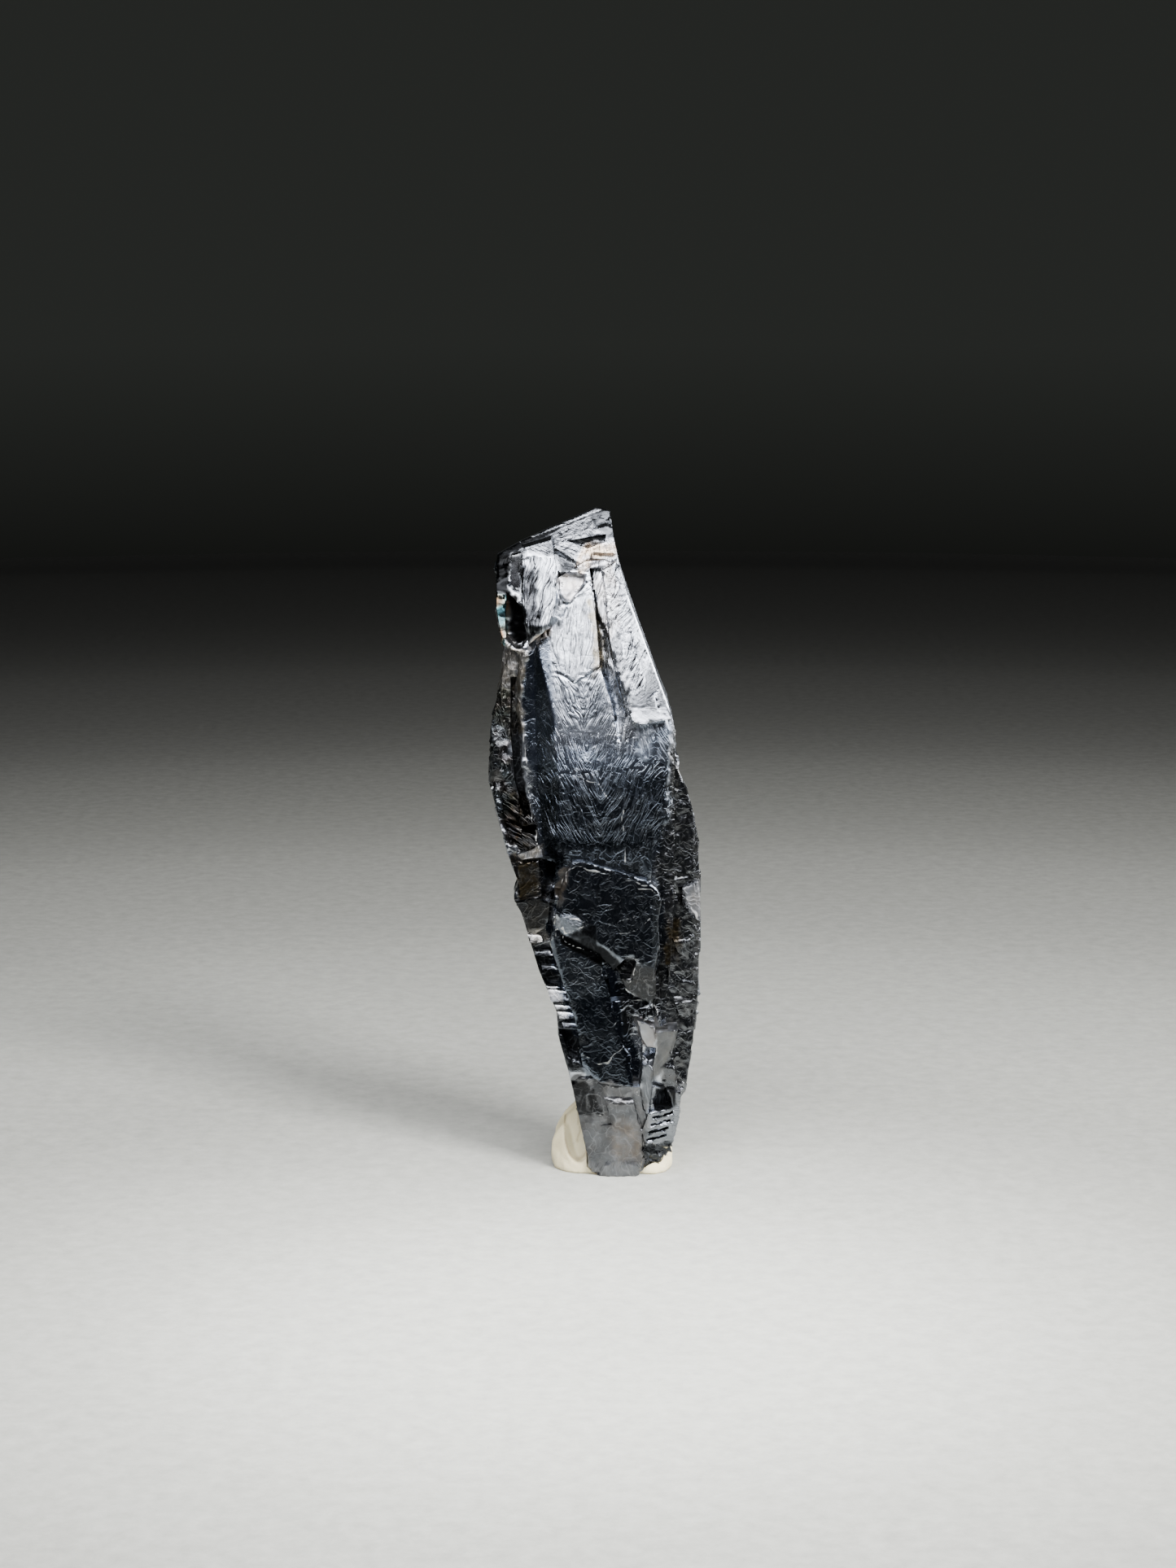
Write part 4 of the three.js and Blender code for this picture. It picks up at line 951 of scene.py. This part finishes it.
patchy_mask = build_patchy_mask()


def kept_value(tree, name):
    return add_node(tree, "ShaderNodeAttribute", attribute_name=name).outputs["Fac"]


def patchy(tree, name, place, scale):
    node = add_node(tree, "ShaderNodeGroup", node_tree=patchy_mask)
    tree.links.new(kept_value(tree, name), node.inputs["Amount"])
    tree.links.new(place, node.inputs["Place"])
    node.inputs["Scale"].default_value = scale
    return node.outputs["Mask"]


# %% Thin crests, for strands and creases too fine for the skin
def build_thin_crests():
    group, given, height = new_group("thin_crests", ("Place", "Scale", "Thinness"), "Height")
    hills = noise_on(group, given["Place"], given["Scale"], 1.0, Distortion=0.6)
    from_middle = math_node(group, "ABSOLUTE", math_node(group, "SUBTRACT", hills, 0.5))
    slope = math_node(group, "MULTIPLY", from_middle, given["Thinness"], clamp=True)
    group.links.new(math_node(group, "SUBTRACT", 1.0, slope), height)
    return group


thin_crests = build_thin_crests()


def crest_height(tree, place, scale, thinness):
    node = add_node(tree, "ShaderNodeGroup", node_tree=thin_crests)
    tree.links.new(place, node.inputs["Place"])
    node.inputs["Scale"].default_value = scale
    tree.links.new(thinness, node.inputs["Thinness"])
    return node.outputs["Height"]


# %% The galena material
METAL = (0.60, 0.64, 0.715, 1)
TINTS = (  # finish, size of its patches as a noise scale, colour
    ("tan", 900, (0.54, 0.43, 0.33, 1)),
    ("brown", 1100, (0.17, 0.135, 0.085, 1)),
    ("cream", 1300, (0.72, 0.65, 0.52, 1)),
    # The blue is a painted reflection of the dark bluish room, laid on the dark faces.
    ("blue", 700, (0.54, 0.63, 0.79, 1)))
RAINBOW = ((0.30, (0.04, 0.10, 0.14)), (0.43, (0.14, 0.32, 0.34)), (0.50, (0.62, 0.60, 0.50)),
           (0.57, (0.58, 0.34, 0.18)), (0.68, (0.07, 0.12, 0.25)))
BROKEN_EDGE_HIGHLIGHT = (0.62, 0.62, 0.61, 1)
FLOW_STRETCH = (1.0, 1.0, 0.13)

galena, tree, shader = new_material("galena")


def times(a, b, clamp=False):
    """This and the next two add a node to the material at hand, whose tree is `tree`."""
    return math_node(tree, "MULTIPLY", a, b, clamp)


def plus(a, b, clamp=False):
    return math_node(tree, "ADD", a, b, clamp)


def minus(a, b, clamp=False):
    return math_node(tree, "SUBTRACT", a, b, clamp)


def fine_crests(name, place, scales, thickest, thinnest):
    """Crests of two sizes, as strong as the finish `name`, and thinner where it shows as lines."""
    amount = kept_value(tree, name)
    thinness = map_range(tree, amount, -0.3, 0.3, thickest, thinnest)
    large, small = (crest_height(tree, place, scale, thinness) for scale in scales)
    return times(plus(times(large, 0.6), times(small, 0.4)), amount)


place = object_place(tree)
flowing = add_node(tree, "ShaderNodeAttribute", attribute_name="flow").outputs["Vector"]
drawn_out = vector_math(tree, "MULTIPLY", flowing, FLOW_STRETCH)
feather = fine_crests("feathered", drawn_out, (2.3, 4.4), 11.0, 24.0)
crease = fine_crests("creased", place, (800.0, 1900.0), 12.0, 30.0)
lines = math_node(tree, "MAXIMUM", feather, crease)
gaps = noise_on(tree, place, 800.0, 1.0)
line_edge = plus(times(gaps, 0.14), 0.885)
on_line = times(minus(kept_value(tree, "line"), line_edge), 30.0, clamp=True)
in_crack = times(minus(kept_value(tree, "crack"), line_edge), 20.0, clamp=True)

colour = METAL
for name, scale, tint in TINTS:
    colour = mix_colours(tree, patchy(tree, name, place, scale), colour, tint)
rainbow = colour_ramp(tree, noise_on(tree, place, 420.0, 2.0), RAINBOW)
colour = mix_colours(tree, patchy(tree, "rainbow", place, 500), colour, rainbow)
# Along the bright lines the colour is lifted to a pale grey, a painted highlight on the real ridges.
colour = mix_colours(tree, on_line, colour, BROKEN_EDGE_HIGHLIGHT)

unevenness = map_range(tree, noise_on(tree, place, 1100.0, 4.0), 0.3, 0.7, 0.74, 1.26)
# The colour is darkened by the kept tarnish and painted shade. Strands and creases above 0 lighten it, a
# painted highlight; grooves below 0 and the cracks darken it, painted shade; the bright lines lift it
# again, a painted highlight.
shine_left = times(minus(1.0, kept_value(tree, "dark"), clamp=True), unevenness)
lit_lines = times(math_node(tree, "MAXIMUM", lines, 0.0), 0.35, clamp=True)
shine_left = plus(shine_left, times(lit_lines, minus(0.7, shine_left)))
keep = plus(shine_left, times(on_line, minus(0.75, shine_left)))
grooves = math_node(tree, "MINIMUM", feather, crease)
groove_shade = plus(1.0, times(grooves, 0.62))
crack_painted_shade = minus(1.0, times(in_crack, 0.8))
keep = times(keep, times(groove_shade, crack_painted_shade, clamp=True))
shade = add_node(tree, "ShaderNodeCombineXYZ", {0: keep, 1: keep, 2: keep}).outputs[0]
colour = mix_colours(tree, 1.0, colour, shade, "MULTIPLY")
tree.links.new(colour, shader.inputs["Base Color"])
shader.inputs["Metallic"].default_value = 1

rough_swing = map_range(tree, noise_on(tree, place, 2500.0, 3.0), 0.0, 1.0, -0.06, 0.06)
roughness = plus(plus(kept_value(tree, "frost"), rough_swing), times(lines, 0.12))
roughness = plus(roughness, times(on_line, 0.2), clamp=True)
tree.links.new(roughness, shader.inputs["Roughness"])
scratch = noise_on(tree, place, 5200.0, 4.0, Roughness=0.6)
grit = times(scratch, kept_value(tree, "gritty"))
height = plus(times(grit, 0.7), plus(feather, crease))
bump = add_node(tree, "ShaderNodeBump", {"Height": height, "Strength": 1.0, "Distance": 0.000015})
tree.links.new(bump.outputs["Normal"], shader.inputs["Normal"])
crystal.data.materials.append(galena)
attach(crystal, "root")
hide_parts("galena_crystal")

# %% [markdown]
# ## Mineral tack
# The specimen stands in a lump of mineral tack, a cream putty that a collector rolls into balls and
# presses round the foot. It could be one sculpted lump. Three balls joined and remeshed into one skin
# keep the way it's made: they swell where they squeeze out, a thumb has pressed a flat with a darker
# rim into the left one, and fingers have left soft dents all round. The crystal's own shape is then
# cut out of the lump with a hair's breadth of room, so that the putty seems to hug the stone.

# %% Roll the balls and join them
TACK_BALLS = (  # centre and radii in mm
    ((1.30, 0.20, 0.4), (4.55, 4.75, 4.9)),
    ((-1.05, -1.60, 0.9), (2.25, 2.6, 2.6)),
    ((4.00, -1.60, 0.2), (1.9, 2.6, 1.6)))
TACK_VOXEL = 0.12
balls = []
for centre, radii in TACK_BALLS:
    bpy.ops.object.select_all(action="DESELECT")
    place = [c * mm for c in centre]
    bpy.ops.mesh.primitive_uv_sphere_add(segments=48, ring_count=24, radius=1 * mm, location=place)
    ball = bpy.context.active_object
    ball.scale = radii
    balls.append(ball)
bpy.ops.object.select_all(action="DESELECT")
for ball in balls:
    ball.select_set(True)
bpy.context.view_layer.objects.active = balls[0]
bpy.ops.object.join()
tack = bpy.context.active_object
tack.name = "pressed_tack"
bpy.ops.object.transform_apply(location=True, rotation=True, scale=True)


def remesh(thing, voxel):
    solo(thing)
    modifier = thing.modifiers.new("one_skin", "REMESH")
    modifier.mode = "VOXEL"
    modifier.voxel_size = voxel * mm
    bpy.ops.object.modifier_apply(modifier="one_skin")


remesh(tack, TACK_VOXEL)
print("tack skin:", len(tack.data.vertices), "vertices")

# %% Press it
THUMB_PLACE = np.array([-1.50, -2.10, 3.0])  # a place on the thumb's flat in mm
THUMB_FACING = np.array([-0.494, -0.732, 0.469])
THUMB_CENTRE = (-1.3, 2.9)      # x and z of the flat, seen from the front
THUMB_RADII = (0.95, 1.95)
BACK_PLACE = np.array([1.35, 4.70, 2.0])     # a place on the flat pressed behind
BACK_FACING = np.array([0.10, 0.956, 0.276])
TACK_CREASE = ((-1.35, 4.0), (-1.15, 3.0), (-1.3, 2.0))
DENTS = (  # a place on the skin in mm, and the reach and depth of the finger's dent there
    ((3.6, 4.2, 3.4), (2.4, 2.0, 1.5), 0.40),
    ((-1.9, 3.2, 2.8), (1.8, 2.2, 1.8), 0.35),
    ((-3.2, 0.6, 1.4), (1.0, 2.0, 1.0), 0.20),
    ((5.9, 1.2, 2.2), (1.0, 2.3, 1.6), 0.35))


def from_thumb(putty):
    """1 on the rim of the thumb's flat, less inside it and more outside."""
    across = (putty[:, 0] - THUMB_CENTRE[0]) / THUMB_RADII[0]
    return np.hypot(across, (putty[:, 2] - THUMB_CENTRE[1]) / THUMB_RADII[1])


def from_crease(putty):
    wander = np.column_stack([cloud(putty, 0.8, 64)] * 2)
    return distance_to(TACK_CREASE, putty[:, [0, 2]] + 0.2 * wander)


putty = places_of(tack.data)
beyond = (putty - THUMB_PLACE) @ THUMB_FACING
putty -= 0.5 * np.maximum(beyond, 0)[:, None] * THUMB_FACING
under_thumb = np.clip((1.06 - from_thumb(putty)) / 0.2, 0, 1) * (putty[:, 1] < 0)
beyond = (putty - THUMB_PLACE) @ THUMB_FACING + 0.45
putty -= (under_thumb * np.maximum(beyond, 0))[:, None] * THUMB_FACING
beyond = (putty - BACK_PLACE) @ BACK_FACING
putty -= np.maximum(beyond, 0)[:, None] * BACK_FACING
swelling = 0.14 * cloud(putty, 2.2, 61) + 0.06 * cloud(putty, 0.7, 62) + 0.015 * cloud(putty, 0.25, 63)
for spot, reach, depth in DENTS:
    near = np.linalg.norm((putty - spot) / reach, axis=1)
    swelling += depth * (0.25 * np.exp(-((near - 1.1) / 0.35) ** 2) - np.exp(-((near / 0.6) ** 2)))
swelling -= 0.06 * np.clip(1 - from_crease(putty) / 0.22, 0, 1) * (putty[:, 1] < 0)
putty += normals_of(tack.data) * swelling[:, None]
putty[:, 2] = np.maximum(putty[:, 2], 0.0)
move_to(tack.data, putty)
remesh(tack, TACK_VOXEL)
putty = places_of(tack.data)
putty[:, 2] = np.where(putty[:, 2] < 0.06, 0.0, putty[:, 2])
move_to(tack.data, putty)
off_centre = from_thumb(putty)
in_front = putty[:, 1] < 0
pressed = np.clip((1.05 - off_centre) / 0.15, 0, 1) * in_front
rim = np.exp(-((off_centre - 1.03) / 0.07) ** 2) * in_front
rim += np.clip(1 - from_crease(putty) / 0.12, 0, 1) * pressed
keep_on(tack.data, "pressed", pressed)
keep_on(tack.data, "rim", np.clip(rim, 0, 1))

# %% Cut the crystal's foot out of it
TACK_CLEARANCE = 0.12
foot = copy_of_node("galena_crystal", "foot_cutter")
move_to(foot.data, places_of(foot.data) + normals_of(foot.data) * TACK_CLEARANCE)
solo(tack)
hollow = tack.modifiers.new("hollow", "BOOLEAN")
hollow.operation = "DIFFERENCE"
hollow.solver = "MANIFOLD"
hollow.object = foot
bpy.ops.object.modifier_apply(modifier="hollow")
solo(foot)
bpy.ops.object.delete()
solo(tack)
bpy.ops.object.shade_smooth_by_angle(angle=math.radians(50))
print("tack:", triangles_in(tack.data), "triangles, box", [round(side / mm, 1) for side in tack.dimensions])

# %% The putty's material
PUTTY = (0.55, 0.49, 0.325, 1)
SOILED_PUTTY = (0.40, 0.35, 0.215, 1)
PRESSED_PUTTY = (0.36, 0.33, 0.215, 1)
RIM_AND_CREASE_TONE = (0.17, 0.135, 0.07, 1)
SPECK = (0.30, 0.28, 0.24, 1)
putty_material, tree, shader = new_material("mineral_tack")
place = object_place(tree)
soiling = noise_on(tree, place, 420.0, 5.0)
colour = mix_colours(tree, map_range(tree, soiling, 0.45, 0.75), PUTTY, SOILED_PUTTY)
colour = mix_colours(tree, times(kept_value(tree, "pressed"), 0.55), colour, PRESSED_PUTTY)
# The rim of the thumb's flat and the crease are darkened.
rim_and_crease_darkening = times(kept_value(tree, "rim"), times(soiling, 1.7))
colour = mix_colours(tree, times(rim_and_crease_darkening, 0.9, clamp=True), colour, RIM_AND_CREASE_TONE)
specks = map_range(tree, noise_on(tree, place, 4200.0, 2.0), 0.64, 0.70, 0.0, 0.5)
colour = mix_colours(tree, specks, colour, SPECK)
tree.links.new(colour, shader.inputs["Base Color"])
shader.inputs["Roughness"].default_value = 0.62
shader.inputs["Subsurface Weight"].default_value = 0.12
shader.inputs["Subsurface Radius"].default_value = (0.9 * mm, 0.7 * mm, 0.45 * mm)
shader.inputs["Subsurface Scale"].default_value = 1.0
pitting = noise_on(tree, place, 2600.0, 4.0)
bump = add_node(tree, "ShaderNodeBump", {"Height": pitting, "Strength": 1.0, "Distance": 0.00003})
tree.links.new(bump.outputs["Normal"], shader.inputs["Normal"])
tack.data.materials.clear()
tack.data.materials.append(putty_material)
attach(tack, "root")
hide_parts("mineral_tack")
